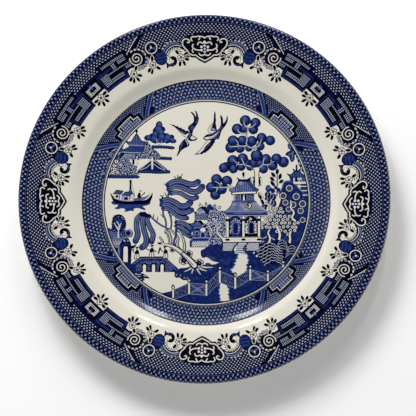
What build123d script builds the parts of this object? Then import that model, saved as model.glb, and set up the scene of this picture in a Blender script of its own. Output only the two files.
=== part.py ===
"""A round china dinner plate, built up the way a decorated plate is made.

A pressed and fired earthenware body carries four printed transfers (centre scene, well border, rim border
and edge band), and a thin clear glaze seals them in. The glaze is wiped off the foot ring before the last
firing, so it ends up as two separate coats: one over the face, the lip and the underside, and one inside
the foot ring. Millimetres, +Z up, the origin on the plate's axis at the level of the foot ring.
"""

from build123d import *
from math import atan, cos, degrees, radians, sin, tan
import os

# ---- driving dimensions ----
plate_radius = 130.0  # to the outermost point of the glazed lip
well_level = 6.4  # the body's flat well floor above the table
well_radius = 78.0  # where the flat floor starts to curve up
wall_slope = 34.0  # degrees, the steepest part of the well's wall
rim_slope = 14.5  # degrees, the broad rim
hollow_radius = 21.0  # the hollow curve between floor and wall
wall_run = 2.6  # the straight stretch of wall between its two curves
shoulder_radius = 11.0  # the rounded shoulder between wall and rim
body_thickness = 4.6  # floor, wall and the inner part of the rim
lip_thickness = 3.3
foot_contact_radius = 77.0  # the outer edge of the ring that stands on the table
foot_contact_width = 2.2
foot_inner_radius = 72.2  # where the foot's inner wall meets the recess
recess_level = 1.6  # the floor inside the foot ring, above the table
glaze_thickness = 0.25
print_thickness = 0.06  # ink and its flux
dry_foot_height = 0.7  # bare body above the table, where the glaze is wiped off

# ---- where each printed transfer lies, as radii ----
scene_radius = 73.6
well_border_radius = 88.5
rim_border_inner = 95.0
edge_band_inner = 124.2


def face_lines():
    """The body's upper line in the XZ half plane, from the axis out to where the lip starts to round."""
    floor = Line((0, well_level), (well_radius, well_level))
    hollow = JernArc(floor @ 1, floor % 1, hollow_radius, wall_slope)
    wall = Line(hollow @ 1, hollow @ 1 + (hollow % 1) * wall_run)
    shoulder = JernArc(wall @ 1, wall % 1, shoulder_radius, rim_slope - wall_slope)
    lip_reach = lip_thickness / 2 * (1 + sin(radians(rim_slope)))
    run = plate_radius - glaze_thickness - lip_reach - (shoulder @ 1).X
    rim = Line(shoulder @ 1, shoulder @ 1 + Vector(run, run * tan(radians(rim_slope))))
    return [floor, hollow, wall, shoulder, rim]


def underside_lines(lip_end, rim_length):
    """The body's lower line, from the foot ring's contact edge out to the underside of the lip."""
    outer_radius = hollow_radius + body_thickness
    start_angle = 4.0
    centre = Vector(well_radius, well_level + hollow_radius)
    a = radians(start_angle)
    heel = centre + Vector(outer_radius * sin(a), -outer_radius * cos(a))
    foot_wall = Line((foot_contact_radius, 0), heel)
    hollow = JernArc(heel, (cos(a), sin(a)), outer_radius, wall_slope - start_angle)
    wall = Line(hollow @ 1, hollow @ 1 + (hollow % 1) * wall_run)
    taper = degrees(atan((body_thickness - lip_thickness) / rim_length))
    bend = rim_slope + taper - wall_slope
    shoulder = JernArc(wall @ 1, wall % 1, shoulder_radius - body_thickness, bend)
    return [foot_wall, hollow, wall, shoulder, Line(shoulder @ 1, lip_end)]


def foot_and_recess_lines():
    """The contact ring, the foot's inner wall, the recess floor and the plate's axis."""
    contact_inner = foot_contact_radius - foot_contact_width
    return [
        Line((0, well_level), (0, recess_level)),
        Line((0, recess_level), (foot_inner_radius, recess_level)),
        Line((foot_inner_radius, recess_level), (contact_inner, 0)),
        Line((contact_inner, 0), (foot_contact_radius, 0)),
    ]


def near(face, x, y):
    """The corner of a section that lies closest to a point."""
    return face.vertices().sort_by_distance((x, y, 0))[0]


def body_section():
    """The fired body as a closed face in the XZ half plane, with a fully rounded lip."""
    face = face_lines()
    rim = face[-1]
    rim_end = rim @ 1
    along = rim % 1
    down = Vector(along.Y, -along.X)
    lip_end = rim_end + down * lip_thickness
    lip_tip = rim_end + down * (lip_thickness / 2) + along * (lip_thickness / 2)
    lip = ThreePointArc(rim_end, lip_tip, lip_end)
    outline = face + [lip] + underside_lines(lip_end, rim.length) + foot_and_recess_lines()
    section = make_face(Curve() + outline)
    heel = near(section, foot_contact_radius + 2.8, 1.9)
    section = fillet(heel, 1.6)
    section = fillet(near(section, foot_inner_radius, recess_level), 1.6)
    section = fillet(near(section, foot_contact_radius, 0), 0.6)
    return fillet(near(section, foot_contact_radius - foot_contact_width, 0), 0.5)


def ring(inner, outer, low, high):
    """A rectangle in the half plane that picks out the radii from inner to outer."""
    return Pos((inner + outer) / 2, (low + high) / 2) * Rectangle(outer - inner, high - low)


def upper_half():
    """Everything above the middle of the plate's thickness, so only the face and half the lip."""
    rim_end = face_lines()[-1] @ 1
    lip_middle = rim_end.Y - lip_thickness / 2 * cos(radians(rim_slope))
    inside = well_radius + 8
    corners = [
        (0, well_level - 2),
        (inside, well_level - 0.5),
        (inside + 12, well_level + 4),
        (rim_end.X, lip_middle),
        (plate_radius + 5, lip_middle),
        (plate_radius + 5, 60),
        (0, 60),
    ]
    return make_face(Polyline(*corners, close=True))


def turned(section):
    """Turns a section in the XZ half plane round the plate's axis."""
    return revolve(Plane.XZ * section, Axis.Z, 360)


body = body_section()
inked = (offset(body, print_thickness) - body) & upper_half()
scene = inked & ring(0, scene_radius, 0, 60)
well_border = inked & ring(scene_radius, well_border_radius, 0, 60)
rim_border = inked & ring(rim_border_inner, edge_band_inner, 0, 60)
edge_band = inked & ring(edge_band_inner, (face_lines()[-1] @ 1).X, 0, 60)

glaze = (offset(body, glaze_thickness) - body) & ring(0, plate_radius + 5, -5, 60)
foot_middle = foot_contact_radius - foot_contact_width / 2
recess_glaze = glaze & ring(0, foot_middle, dry_foot_height, well_level - 1)
wiped = ring(0, foot_middle, -5, well_level - 1)
wiped += ring(foot_middle - 1, plate_radius + 5, -5, dry_foot_height)
outer_glaze = glaze - wiped - scene - well_border - rim_border - edge_band

nodes = {
    "earthenware_body": body,
    "centre_scene_print": scene,
    "well_border_print": well_border,
    "rim_border_print": rim_border,
    "edge_band_print": edge_band,
    "outer_glaze_coat": outer_glaze,
    "base_recess_glaze": recess_glaze,
}

os.makedirs("parts", exist_ok=True)
for name, section in nodes.items():
    solid = turned(section)
    box = solid.bounding_box()
    print(name, round(solid.volume / 1000, 3), "cm3", len(solid.solids()), "solid", box.min, box.max)
    export_step(solid, f"parts/{name}.step")
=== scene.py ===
"""A blue-and-white printed dinner plate on a pale floor.

The decoration is drawn here by code, in millimetres, as flat shapes painted one over another. Each printed
sheet is cut into triangles along those shapes, and each triangle keeps the tone of its topmost shape as an
amount of ink. One glaze material turns that ink into cream, washes of cobalt, and near-black line.
"""

import math

import bpy
import numpy as np
from mathutils import Matrix, Vector
from mathutils.geometry import delaunay_2d_cdt


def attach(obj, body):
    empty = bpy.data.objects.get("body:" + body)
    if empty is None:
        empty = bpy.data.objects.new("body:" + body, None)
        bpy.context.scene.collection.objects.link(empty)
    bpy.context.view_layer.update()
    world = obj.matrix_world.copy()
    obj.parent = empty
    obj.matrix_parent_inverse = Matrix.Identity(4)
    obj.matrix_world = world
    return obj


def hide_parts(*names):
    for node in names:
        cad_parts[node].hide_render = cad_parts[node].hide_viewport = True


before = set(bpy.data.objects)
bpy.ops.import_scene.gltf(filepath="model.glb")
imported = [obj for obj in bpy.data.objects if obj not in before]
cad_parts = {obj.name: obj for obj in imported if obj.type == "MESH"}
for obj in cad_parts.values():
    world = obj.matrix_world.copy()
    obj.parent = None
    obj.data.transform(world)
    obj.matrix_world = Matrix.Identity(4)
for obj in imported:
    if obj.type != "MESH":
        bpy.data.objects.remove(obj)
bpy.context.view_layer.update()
bpy.context.scene.frame_set(1)

# ---- the plate's profile, in millimetres, as the CAD has it ----
PLATE_RADIUS = 130.0
BODY_FLOOR = 6.4  # the body's flat floor above the table
WELL_RADIUS = 78.0  # where the flat floor starts to curve up
WALL_SLOPE = math.radians(34.0)
RIM_SLOPE = math.radians(14.5)
UNDER_RIM_SLOPE = RIM_SLOPE + math.radians(2.2)  # the rim thins towards the lip
HOLLOW_RADIUS = 21.0
HOLLOW_MIDDLE = BODY_FLOOR + HOLLOW_RADIUS
WALL_RUN = 2.6  # the straight stretch of wall
SHOULDER_RADIUS = 11.0
BODY_THICKNESS = 4.6
LIP_THICKNESS = 3.3
GLAZE = 0.25
FOOT_RADIUS = 77.0
DRY_FOOT = 0.7  # height of bare body at the foot, where the glaze is wiped off

# ---- where the printed sheets lie, as radii ----
SHEETS_MEET = 93.6  # where the centre sheet stops and the rim sheet starts
EDGE_BAND_START = 124.0
EDGE_BAND_END = 131.2  # over the lip, along the canvas
LIP_START = 127.6  # the mesh is finer from here on
SCENE_EDGE = 71.7
WELL_BORDER_END = 87.5
PRINT_OFFSET = np.array([0.95, -1.5])  # the centre transfer was laid on a little off the middle

# ---- amounts of ink, from bare cream to solid line ----
PAPER = 0.0
CREAM = 0.04
TINT = 0.1
MIST = 0.2
HAZE = 0.26
PALE = 0.33
SKY = 0.42
WASH = 0.52
BLUE = 0.61
COBALT = 0.68
ROYAL = 0.74
DEEP = 0.8
NAVY = 0.86
DARK = 0.92
LINE = 1.0


# ================= shapes =================


def smooth(points, closed=False, step=0.7):
    """A soft curve through the points, as a list of closer points."""
    p = np.array(points, float)
    if closed:
        p = np.vstack([p[-1], p, p[0], p[1]])
    else:
        p = np.vstack([2 * p[0] - p[1], p, 2 * p[-1] - p[-2]])
    out = []
    for a, b, c, d in zip(p[:-3], p[1:-2], p[2:-1], p[3:]):
        count = int(np.clip(np.linalg.norm(c - b) / step, 2, 14))
        t = np.linspace(0, 1, count, endpoint=False)[:, None]
        bend, twist = 2 * a - 5 * b + 4 * c - d, 3 * b - a - 3 * c + d
        out.append(0.5 * (2 * b + (c - a) * t + bend * t**2 + twist * t**3))
    if not closed:
        out.append(p[-2:-1])
    return np.vstack(out)


def round_shape(x, y, radius, sides=18, squash=1.0, turn=0.0):
    """A circle, or an ellipse when squashed across the direction given by turn in degrees."""
    t = np.linspace(0, 2 * math.pi, sides, endpoint=False)
    a, b = radius * np.cos(t), radius * squash * np.sin(t)
    c, s = math.cos(math.radians(turn)), math.sin(math.radians(turn))
    return np.column_stack([x + a * c - b * s, y + a * s + b * c])


def band(points, width, ends=(1, 1)):
    """The outline of a line of the given width, with round ends, swelling or tapering between two shares."""
    p = np.array(points, float)
    d = np.gradient(p, axis=0)
    d /= np.maximum(np.linalg.norm(d, axis=1), 1e-9)[:, None]
    n = np.column_stack([-d[:, 1], d[:, 0]])
    half = width / 2 * np.linspace(ends[0], ends[1], len(p))[:, None]
    caps = np.radians([45, 0, -45])
    tip = p[-1] + half[-1] * (np.outer(np.cos(caps), d[-1]) + np.outer(np.sin(caps), n[-1]))
    tail = p[0] - half[0] * (np.outer(np.cos(caps), d[0]) + np.outer(np.sin(caps), n[0]))
    return np.vstack([p + n * half, tip, (p - n * half)[::-1], tail])


def arc(x, y, radius, start, end, count=12):
    """Points on a circle from one angle to another, in degrees from +x, anticlockwise."""
    t = np.radians(np.linspace(start, end, count))
    return np.column_stack([x + radius * np.cos(t), y + radius * np.sin(t)])


AS_DRAWN = [lambda points: points]  # one placement, which leaves the points where they are


class Canvas:
    """Flat shapes in millimetres. What is painted later hides what was painted before it."""

    def __init__(self):
        self.shapes = []
        self.tones = []
        self.places = AS_DRAWN

    def fill(self, points, tone):
        """A shape, laid down once for each of the canvas's places."""
        for place in self.places:
            self.shapes.append(place(np.array(points, float)))
            self.tones.append(tone)

    def blob(self, points, tone, step=0.7):
        """A filled closed shape with soft corners."""
        self.fill(smooth(points, True, step), tone)

    def arch(self, x, y, radius, sides, left, right, foot, tone):
        """A round-headed opening: half a circle at x, y over feet at left and right."""
        self.fill(np.vstack([arc(x, y, radius, 0, 180, sides), [(left, foot), (right, foot)]]), tone)

    def disc(self, x, y, radius, tone, **more):
        """A circle or an ellipse, as round_shape draws it."""
        self.fill(round_shape(x, y, radius, **more), tone)

    def line(self, points, width, tone, ends=(1, 1)):
        """A straight-sided line, whose width swells or tapers between two shares."""
        self.fill(band(points, width, ends), tone)

    def curve(self, points, width, tone, ends=(1, 1)):
        """A line that runs softly through its points."""
        self.fill(band(smooth(points), width, ends), tone)

    def edged_curve(self, points, width, tone, edge=0.45, edge_tone=LINE, ends=(1, 1)):
        """A light line with a dark line along each side."""
        self.curve(points, width + 2 * edge, edge_tone, ends)
        self.curve(points, width, tone, ends)

    def box(self, x0, y0, x1, y1, tone):
        """An upright rectangle between two corners."""
        self.fill([(x0, y0), (x1, y0), (x1, y1), (x0, y1)], tone)

    def edged(self, points, tone, edge=0.4, edge_tone=LINE):
        """A filled shape with a dark outline."""
        p = np.array(points, float)
        self.fill(p, tone)
        self.fill(band(np.vstack([p, p[:1]]), edge), edge_tone)

    def hoop(self, x, y, radius, width, tone, sides=20):
        """A ring, as a closed line."""
        self.fill(band(arc(x, y, radius, 0, 360, sides + 1), width), tone)


def sloped(y0, y1, tone0, tone1):
    """A tone that changes evenly between two heights."""
    def tone(p):
        t = np.clip((p[:, 1] - y0) / (y1 - y0), 0, 1)
        return tone0 + (tone1 - tone0) * t
    return tone


# ================= the plate's surface =================


def swept(r, z, radius, start, end, count):
    """A hollow curve in section, between two slopes; a shoulder has a negative radius."""
    slope = np.linspace(start, end, count)
    return np.column_stack([r + radius * np.sin(slope), z - radius * np.cos(slope)])


def wall_and_shoulder(foot_of_wall, bend, last_slope, count):
    """The shoulder that follows the straight stretch of wall, whose foot is given."""
    r = foot_of_wall[0] + WALL_RUN * math.cos(WALL_SLOPE)
    z = foot_of_wall[1] + WALL_RUN * math.sin(WALL_SLOPE)
    middle = r + bend * math.sin(WALL_SLOPE), z - bend * math.cos(WALL_SLOPE)
    return swept(*middle, -bend, WALL_SLOPE, last_slope, count)


def face_pieces():
    """The glazed face in section: floor, hollow, shoulder, rim and lip, as lists of (radius, height)."""
    floor = [(r, BODY_FLOOR + GLAZE) for r in np.arange(0, WELL_RADIUS, 1.0)]
    hollow = swept(WELL_RADIUS, HOLLOW_MIDDLE, HOLLOW_RADIUS - GLAZE, 0, WALL_SLOPE, 40)
    shoulder = wall_and_shoulder(hollow[-1], SHOULDER_RADIUS + GLAZE, RIM_SLOPE, 24)
    r, z = shoulder[-1]
    up = np.array([-math.sin(RIM_SLOPE), math.cos(RIM_SLOPE)])
    lip_half = LIP_THICKNESS / 2 + GLAZE
    rim_end_r = PLATE_RADIUS - GLAZE - LIP_THICKNESS / 2 + lip_half * up[0]
    rim_end = np.array([rim_end_r, z + (rim_end_r - r) * math.tan(RIM_SLOPE)])
    rim = np.linspace((r, z), rim_end, 40)[1:]
    a = np.linspace(math.pi / 2 + RIM_SLOPE, RIM_SLOPE - math.pi / 2, 40)[1:]
    lip = rim_end - up * lip_half + lip_half * np.column_stack([np.cos(a), np.sin(a)])
    return [floor, hollow, shoulder, rim, lip]


def back_points(lip_end):
    """The glazed underside in section, from the dry foot out to the end of the lip."""
    foot = [(FOOT_RADIUS + 1.0, DRY_FOOT), (FOOT_RADIUS + 1.9, 1.15), (FOOT_RADIUS + 3.0, 1.55)]
    under = HOLLOW_RADIUS + BODY_THICKNESS + GLAZE
    belly = swept(WELL_RADIUS, HOLLOW_MIDDLE, under, math.radians(6), WALL_SLOPE, 24)
    bend = SHOULDER_RADIUS - BODY_THICKNESS - GLAZE
    shoulder = wall_and_shoulder(belly[-1], bend, UNDER_RIM_SLOPE, 14)
    return np.vstack([foot, belly, shoulder, np.linspace(shoulder[-1], lip_end, 30)[1:-1]])


def profile_points():
    """The glazed outline from the axis over the lip to the dry foot.

    It comes as (canvas radius, (radius, height), number of points on the face). The canvas radius is the
    plate's own radius as far as the lip, and then runs on along the outline.
    """
    pieces = face_pieces()
    face = np.vstack(pieces)
    outline = np.vstack([face, back_points(face[-1])[::-1]])
    run = np.hypot(*np.diff(outline, axis=0).T)
    flat = len(face) - len(pieces[-1])
    canvas = outline[:, 0].copy()
    canvas[flat:] = canvas[flat - 1] + np.cumsum(run[flat - 1:])
    return canvas, outline, len(face)


CANVAS_RADIUS, OUTLINE, FACE_COUNT = profile_points()
OUTWARD = np.gradient(OUTLINE, axis=0)
OUTWARD = np.column_stack([-OUTWARD[:, 1], OUTWARD[:, 0]])
OUTWARD /= np.linalg.norm(OUTWARD, axis=1)[:, None]
LIP_END = CANVAS_RADIUS[FACE_COUNT - 1]


def on_plate(points):
    """Takes flat canvas points to the glaze: (positions in metres, outward normals)."""
    away = np.hypot(points[:, 0], points[:, 1])
    turn = np.arctan2(points[:, 1], points[:, 0])
    r = np.interp(away, CANVAS_RADIUS, OUTLINE[:, 0])
    z = np.interp(away, CANVAS_RADIUS, OUTLINE[:, 1])
    nr = np.interp(away, CANVAS_RADIUS, OUTWARD[:, 0])
    nz = np.interp(away, CANVAS_RADIUS, OUTWARD[:, 1])
    place = np.column_stack([r * np.cos(turn), r * np.sin(turn), z]) / 1000
    normal = np.column_stack([nr * np.cos(turn), nr * np.sin(turn), nz])
    return place, normal / np.linalg.norm(normal, axis=1)[:, None]


def inside(outline, points):
    """Which points an outline goes round, even where it crosses itself."""
    x, y = points[:, 0], points[:, 1]
    ax, ay = outline[:, :1], outline[:, 1:]
    bx, by = np.roll(ax, -1), np.roll(ay, -1)
    left = (bx - ax) * (y - ay) - (x - ax) * (by - ay) > 0
    rising = (ay <= y) & (by > y) & left
    falling = (ay > y) & (by <= y) & ~left
    return rising.sum(0) != falling.sum(0)


def enclosed(outline, x, y):
    """The rows of the points that an outline goes round; the points come in rising order of y."""
    ends = np.column_stack([outline[:, 1], np.roll(outline[:, 1], -1)])
    spans = np.searchsorted(y, np.sort(ends, axis=1))
    first, last = spans.min(), spans.max()
    turns = np.zeros(last - first, int)
    for (ax, ay), (bx, by), (i, j) in zip(outline.tolist(), np.roll(outline, -1, 0).tolist(),
                                          spans.tolist()):
        if j > i:
            crossing = ax + (y[i:j] - ay) * ((bx - ax) / (by - ay))
            turns[i - first:j - first] += np.where(x[i:j] < crossing, 1 if by > ay else -1, 0)
    return first + np.nonzero(turns)[0]


def triangulated(outlines, spots, inner):
    """Splits a disc into triangles that keep the given lines as edges: their corners, faces and middles.

    Each outline is (points, pairs of its points to join). The triangles come in rising order of y.
    """
    verts, links = [], []
    count = 0
    for points, pairs in outlines:
        verts.append(points)
        links.append(pairs + count)
        count += len(points)
    verts = np.vstack(verts + spots)
    cut = delaunay_2d_cdt([Vector(v) for v in verts], np.vstack(links).tolist(), [], 0, 1e-4, False)
    points = np.array([tuple(v) for v in cut[0]])
    faces = np.array([tuple(f) for f in cut[2]])
    corners = points[faces]
    area = np.cross(corners[:, 1] - corners[:, 0], corners[:, 2] - corners[:, 0])
    faces[area < 0] = faces[area < 0][:, ::-1]
    middle = corners.mean(1)
    keep = (np.abs(area) > 1e-7) & (np.hypot(*middle.T) > inner)
    order = np.argsort(middle[keep, 1])
    return points, faces[keep][order], middle[keep][order]


def topmost(canvas, middle):
    """For each point, the number of the last painted shape that covers it, or -1."""
    top = np.full(len(middle), -1)
    x, y = np.ascontiguousarray(middle[:, 0]), np.ascontiguousarray(middle[:, 1])
    for k, outline in enumerate(canvas.shapes):
        top[enclosed(outline, x, y)] = k
    return top


def closed_loop(points):
    """An outline as (points, pairs of its points to join)."""
    index = np.arange(len(points))
    return points, np.column_stack([index, np.roll(index, -1)])


def ink_borders(canvas, edges, shapes, inner):
    """The lines where one visible shape meets another, as an outline for the final triangles."""
    points, faces, middle = triangulated(edges + shapes, [], inner)
    top = topmost(canvas, middle)
    sides = np.sort(np.vstack([faces[:, [0, 1]], faces[:, [1, 2]], faces[:, [2, 0]]]), axis=1)
    owner = np.tile(np.arange(len(faces)), 3)
    order = np.lexsort((sides[:, 1], sides[:, 0]))
    sides, owner = sides[order], owner[order]
    pair = np.nonzero((sides[1:] == sides[:-1]).all(1))[0]
    apart = pair[top[owner[pair]] != top[owner[pair + 1]]]
    used, lines = np.unique(sides[apart], return_inverse=True)
    return points[used], lines.reshape(-1, 2)


def corner_ink(canvas, points, faces, middle):
    """The amount of ink at each corner of each face."""
    top = topmost(canvas, middle)
    ink = np.zeros((len(faces), 3))
    for k in np.unique(top[top >= 0]):
        rows = np.nonzero(top == k)[0]
        tone = canvas.tones[k]
        if callable(tone):
            ink[rows] = tone(points[faces[rows]].reshape(-1, 2)).reshape(-1, 3)
        else:
            ink[rows] = tone
    return ink


def glazed_piece(name, verts, faces, normals, ink, material):
    """A smooth piece of the glazed surface that rides the plate; ink is an amount for each face corner."""
    mesh = bpy.data.meshes.new(name)
    mesh.from_pydata(verts.tolist(), [], faces)
    mesh.attributes.new("ink", "FLOAT", "CORNER").data.foreach_set("value", ink.ravel())
    mesh.shade_smooth()
    mesh.normals_split_custom_set_from_vertices(normals.tolist())
    mesh.materials.append(material)
    piece = bpy.data.objects.new(name, mesh)
    bpy.context.collection.objects.link(piece)
    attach(piece, "root")
    return piece


def cut_sheet(name, canvas, inner, rings, material):
    """Makes one connected printed sheet from a canvas, following the plate's glazed surface.

    rings lists (canvas radius, number of extra points) so that the sheet can follow the curves. The first
    triangulation finds what shows on top; the second keeps only the lines where the ink changes.
    """
    outer, outer_count = rings[-1]
    edges = [closed_loop(round_shape(0, 0, outer, sides=outer_count))]
    if inner:
        edges.append(closed_loop(round_shape(0, 0, inner, sides=rings[0][1])))
    shapes = []
    for outline in canvas.shapes:
        away = np.hypot(outline[:, 0], outline[:, 1])
        shapes.append(closed_loop(outline * np.minimum(1, outer / np.maximum(away, 1e-9))[:, None]))
    seen = ink_borders(canvas, edges, shapes, inner)
    spots = [round_shape(0, 0, radius, sides=number, turn=(k % 2) * 180 / number)
             for k, (radius, number) in enumerate(rings[1:-1])]
    points, faces, middle = triangulated(edges + [seen], spots, inner)
    place, normal = on_plate(points)
    ink = corner_ink(canvas, points, faces, middle)
    return glazed_piece(name, place, faces.tolist(), normal, ink, material)


# ================= repeated motifs =================


def leaf(c, x, y, turn, length, width, tone):
    """A pointed leaf with its middle at x, y and its length along turn, in degrees."""
    t = np.linspace(-1, 1, 9)
    side = width / 2 * (1 - np.abs(t) ** 2.2)
    along = t * length / 2
    p = np.vstack([np.column_stack([along, side]), np.column_stack([along, -side])[-2:0:-1]])
    a = math.radians(turn)
    spin = np.array([[math.cos(a), math.sin(a)], [-math.sin(a), math.cos(a)]])
    c.fill(p @ spin + (x, y), tone)


def ball(c, x, y, r):
    """One round cluster of leaves, dark round its edge and below."""
    c.disc(x, y, r, LINE, sides=26)
    c.disc(x - 0.03 * r, y + 0.1 * r, 0.86 * r, NAVY, sides=22)
    c.disc(x - 0.05 * r, y + 0.17 * r, 0.71 * r, DEEP, sides=18)
    c.disc(x - 0.08 * r, y + 0.24 * r, 0.54 * r, COBALT, sides=14)
    c.disc(x - 0.14 * r, y + 0.32 * r, 0.38 * r, BLUE, sides=10)
    c.disc(x - 0.18 * r, y + 0.38 * r, 0.2 * r, WASH, sides=8)
    for k in range(5):
        a = math.radians(200 + 35 * k)
        along = np.array([math.cos(a), math.sin(a)])
        c.line([(x, y) + 0.62 * r * along, (x, y) + 0.9 * r * along], 0.16 * r, ROYAL, (1, 0.4))


def frond(c, points, width):
    """One willow frond: a dark edged band with fine lines running along it."""
    c.curve(points, width + 0.35, LINE, (0.85, 1))
    c.curve(points, width - 0.6, ROYAL, (0.85, 1))
    p = smooth(points)
    d = np.gradient(p, axis=0)
    d /= np.linalg.norm(d, axis=1)[:, None]
    n = np.column_stack([-d[:, 1], d[:, 0]])
    run = np.linspace(0, 9, len(p))
    for k, (share, stripe, thick) in enumerate((
        (-0.33, WASH, 0.4), (-0.19, PALE, 0.34), (-0.05, WASH, 0.3), (0.05, DARK, 0.42), (0.17, PALE, 0.34),
        (0.3, WASH, 0.34), (0.42, DARK, 0.4),
    )):
        wander = share * (width - 0.5) + 0.09 * np.sin(run * (2 + k % 3) + 2 * k)
        c.line(p[1:-1] + n[1:-1] * wander[1:-1, None], thick, stripe, (1, 0.7))


def flower(c, x, y, r, petals=11):
    """A round flower: a white frilled ring, a blue middle with dark rays and a dark eye."""
    c.disc(x, y, 1.16 * r, LINE, sides=18)
    t = np.linspace(0, 2 * math.pi, petals * 4, endpoint=False)
    frill = r * (0.93 + 0.07 * np.cos(petals * t))
    c.fill(np.column_stack([x + frill * np.cos(t), y + frill * np.sin(t)]), TINT)
    c.disc(x, y, 0.72 * r, LINE, sides=16)
    c.disc(x, y, 0.62 * r, BLUE, sides=14)
    for k in range(7):
        a = 2 * math.pi * k / 7
        dx, dy = math.cos(a), math.sin(a)
        c.line([(x + 0.3 * r * dx, y + 0.3 * r * dy), (x + 0.66 * r * dx, y + 0.66 * r * dy)], 0.13 * r,
               DARK)
    c.disc(x, y, 0.3 * r, LINE, sides=10)
    c.disc(x, y, 0.12 * r, MIST, sides=6)


def blossom(c, x, y, r):
    """A small white blossom with a dark eye."""
    c.disc(x, y, 1.3 * r, DARK, sides=12)
    c.disc(x, y, 0.98 * r, CREAM, sides=10)
    c.disc(x, y, 0.46 * r, DARK, sides=8)


def scatter(outline, pitch, seed, loose=0.3):
    """Points on a staggered grid inside an outline, each moved a little at random."""
    outline = np.array(outline, float)
    random = np.random.default_rng(seed)
    low, high = outline.min(0), outline.max(0)
    points = []
    for row, y in enumerate(np.arange(low[1], high[1], pitch * 0.86)):
        for x in np.arange(low[0] + (row % 2) * pitch / 2, high[0], pitch):
            points.append((x, y) + random.uniform(-loose, loose, 2) * pitch)
    points = np.array(points)
    return points[inside(outline, points)]


def stipple(c, outline, pitch, seed, tone, size, base):
    """A leafy or stony texture: light flecks over a dark ground."""
    if base is not None:
        c.fill(outline, base)
    random = np.random.default_rng(seed + 50)
    for x, y in scatter(outline, pitch, seed):
        turn = random.uniform(0, 180)
        c.disc(x, y, size * pitch, tone, sides=6, squash=0.7, turn=turn)


def hatch(c, corners, count, width, tone):
    """Parallel lines over a four-cornered patch, from its first side to its third."""
    a, b, d, e = [np.array(p, float) for p in corners]
    for t in (np.arange(count) + 0.5) / count:
        c.line([a + (b - a) * t, e + (d - e) * t], width, tone)


def lattice(c, corners, across, up, size, tone):
    """Staggered light squares over a four-cornered patch."""
    a, b, d, e = [np.array(p, float) for p in corners]
    for j in range(up):
        for i in range(across):
            u = (i + 0.25 + 0.5 * (j % 2)) / across
            v = (j + 0.5) / up
            x, y = (a * (1 - u) + b * u) * (1 - v) + (e * (1 - u) + d * u) * v
            c.disc(x, y, size, tone, sides=4)


# ================= rim border =================

HALF_SECTOR = 88.5  # length of half a sector along the rim
# The border was laid on by hand, so its four medallions sit a degree or two off the quarters.
MEDALLIONS = [0.3, 92.9, 180.7, 269.2]
CARTOUCHES = [45.0, 136.3, 226.3, 314.5]


def subdivided(points, longest=3.0):
    """The same closed outline with no side longer than the given length."""
    out = []
    for a, b in zip(points, np.roll(points, -1, axis=0)):
        count = max(1, math.ceil(np.linalg.norm(b - a) / longest))
        out.append(a + (b - a) * (np.arange(count) / count)[:, None])
    return np.vstack(out)


def around(start, end, length):
    """Wraps strip coordinates (along, radius) round the plate, from one compass angle to another."""
    def place(points):
        p = subdivided(points)
        angle = np.radians(start + (end - start) * p[:, 0] / length)
        return np.column_stack([p[:, 1] * np.sin(angle), p[:, 1] * np.cos(angle)])
    return place


def sectors(centres, length):
    """Eight placements: from each centre both ways to the middle of the gap."""
    places = []
    for k, centre in enumerate(centres):
        after = centres[(k + 1) % 4] + (360 if k == 3 else 0)
        before = centres[k - 1] - (360 if k == 0 else 0)
        places.append(around(centre, (centre + after) / 2, length))
        places.append(around(centre, (centre + before) / 2, length))
    return places


def from_far_end(place, length):
    """The same placement, measured along the strip from its other end."""
    return lambda points: place(np.column_stack([length - points[:, 0], points[:, 1]]))


def dotted_rows(c, s0, s1, top, bottom, pitch, step, width, height, tone, skip=None):
    """Staggered rows of light dots between two distances along the strip."""
    row = 0
    r = top
    while r > bottom:
        start = math.floor(s0 / pitch) * pitch + (row % 2) * pitch / 2
        for s in np.arange(start, s1, pitch):
            if s >= s0 - 0.01 and not (skip and skip(s, r)):
                t = np.array([(-0.5, 0), (-0.2, 0.5), (0.25, 0.45), (0.5, 0.05), (0.2, -0.5),
                              (-0.25, -0.45)])
                c.fill(t * (width, height) + (s, r), tone)
        row += 1
        r -= step


def mesh_bar(c, s0, r0, s1, r1):
    """A bar of the key pattern, filled with a fine light grid."""
    pitch = 1.3
    c.box(s0, r0, s1, r1, LINE)
    s0, r0, s1, r1 = s0 + 0.2, r0 + 0.2, s1 - 0.2, r1 - 0.2
    across = max(1, round((s1 - s0) / pitch))
    up = max(1, round((r1 - r0) / pitch))
    ds, dr = (s1 - s0) / across, (r1 - r0) / up
    for i in range(across):
        for j in range(up):
            s, r = s0 + (i + 0.5) * ds, r0 + (j + 0.5) * dr
            c.box(s - 0.32 * ds, r - 0.32 * dr, s + 0.32 * ds, r + 0.32 * dr, HAZE)


def daisy(c, s, r, turns):
    """A small flower head on the rim's lower edge, with dark leaves round it."""
    for turn in turns:
        a = math.radians(turn)
        x, y = s + 4.5 * math.cos(a), r + 4.5 * math.sin(a)
        c.disc(x, y, 2.5, PAPER, sides=12, squash=0.6, turn=turn)
        c.disc(x, y, 2.05, LINE, sides=12, squash=0.54, turn=turn)
    c.disc(s, r, 3.0, PAPER, sides=16)
    for size, tone in ((1.35, LINE), (0.82, PAPER)):
        for k in range(5):
            a = math.radians(90 + 72 * k)
            c.disc(s + 1.6 * math.cos(a), r + 1.6 * math.sin(a), size, tone, sides=10)
    c.disc(s, r, 0.95, LINE, sides=10)
    c.disc(s, r, 0.4, PALE, sides=6)


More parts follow.
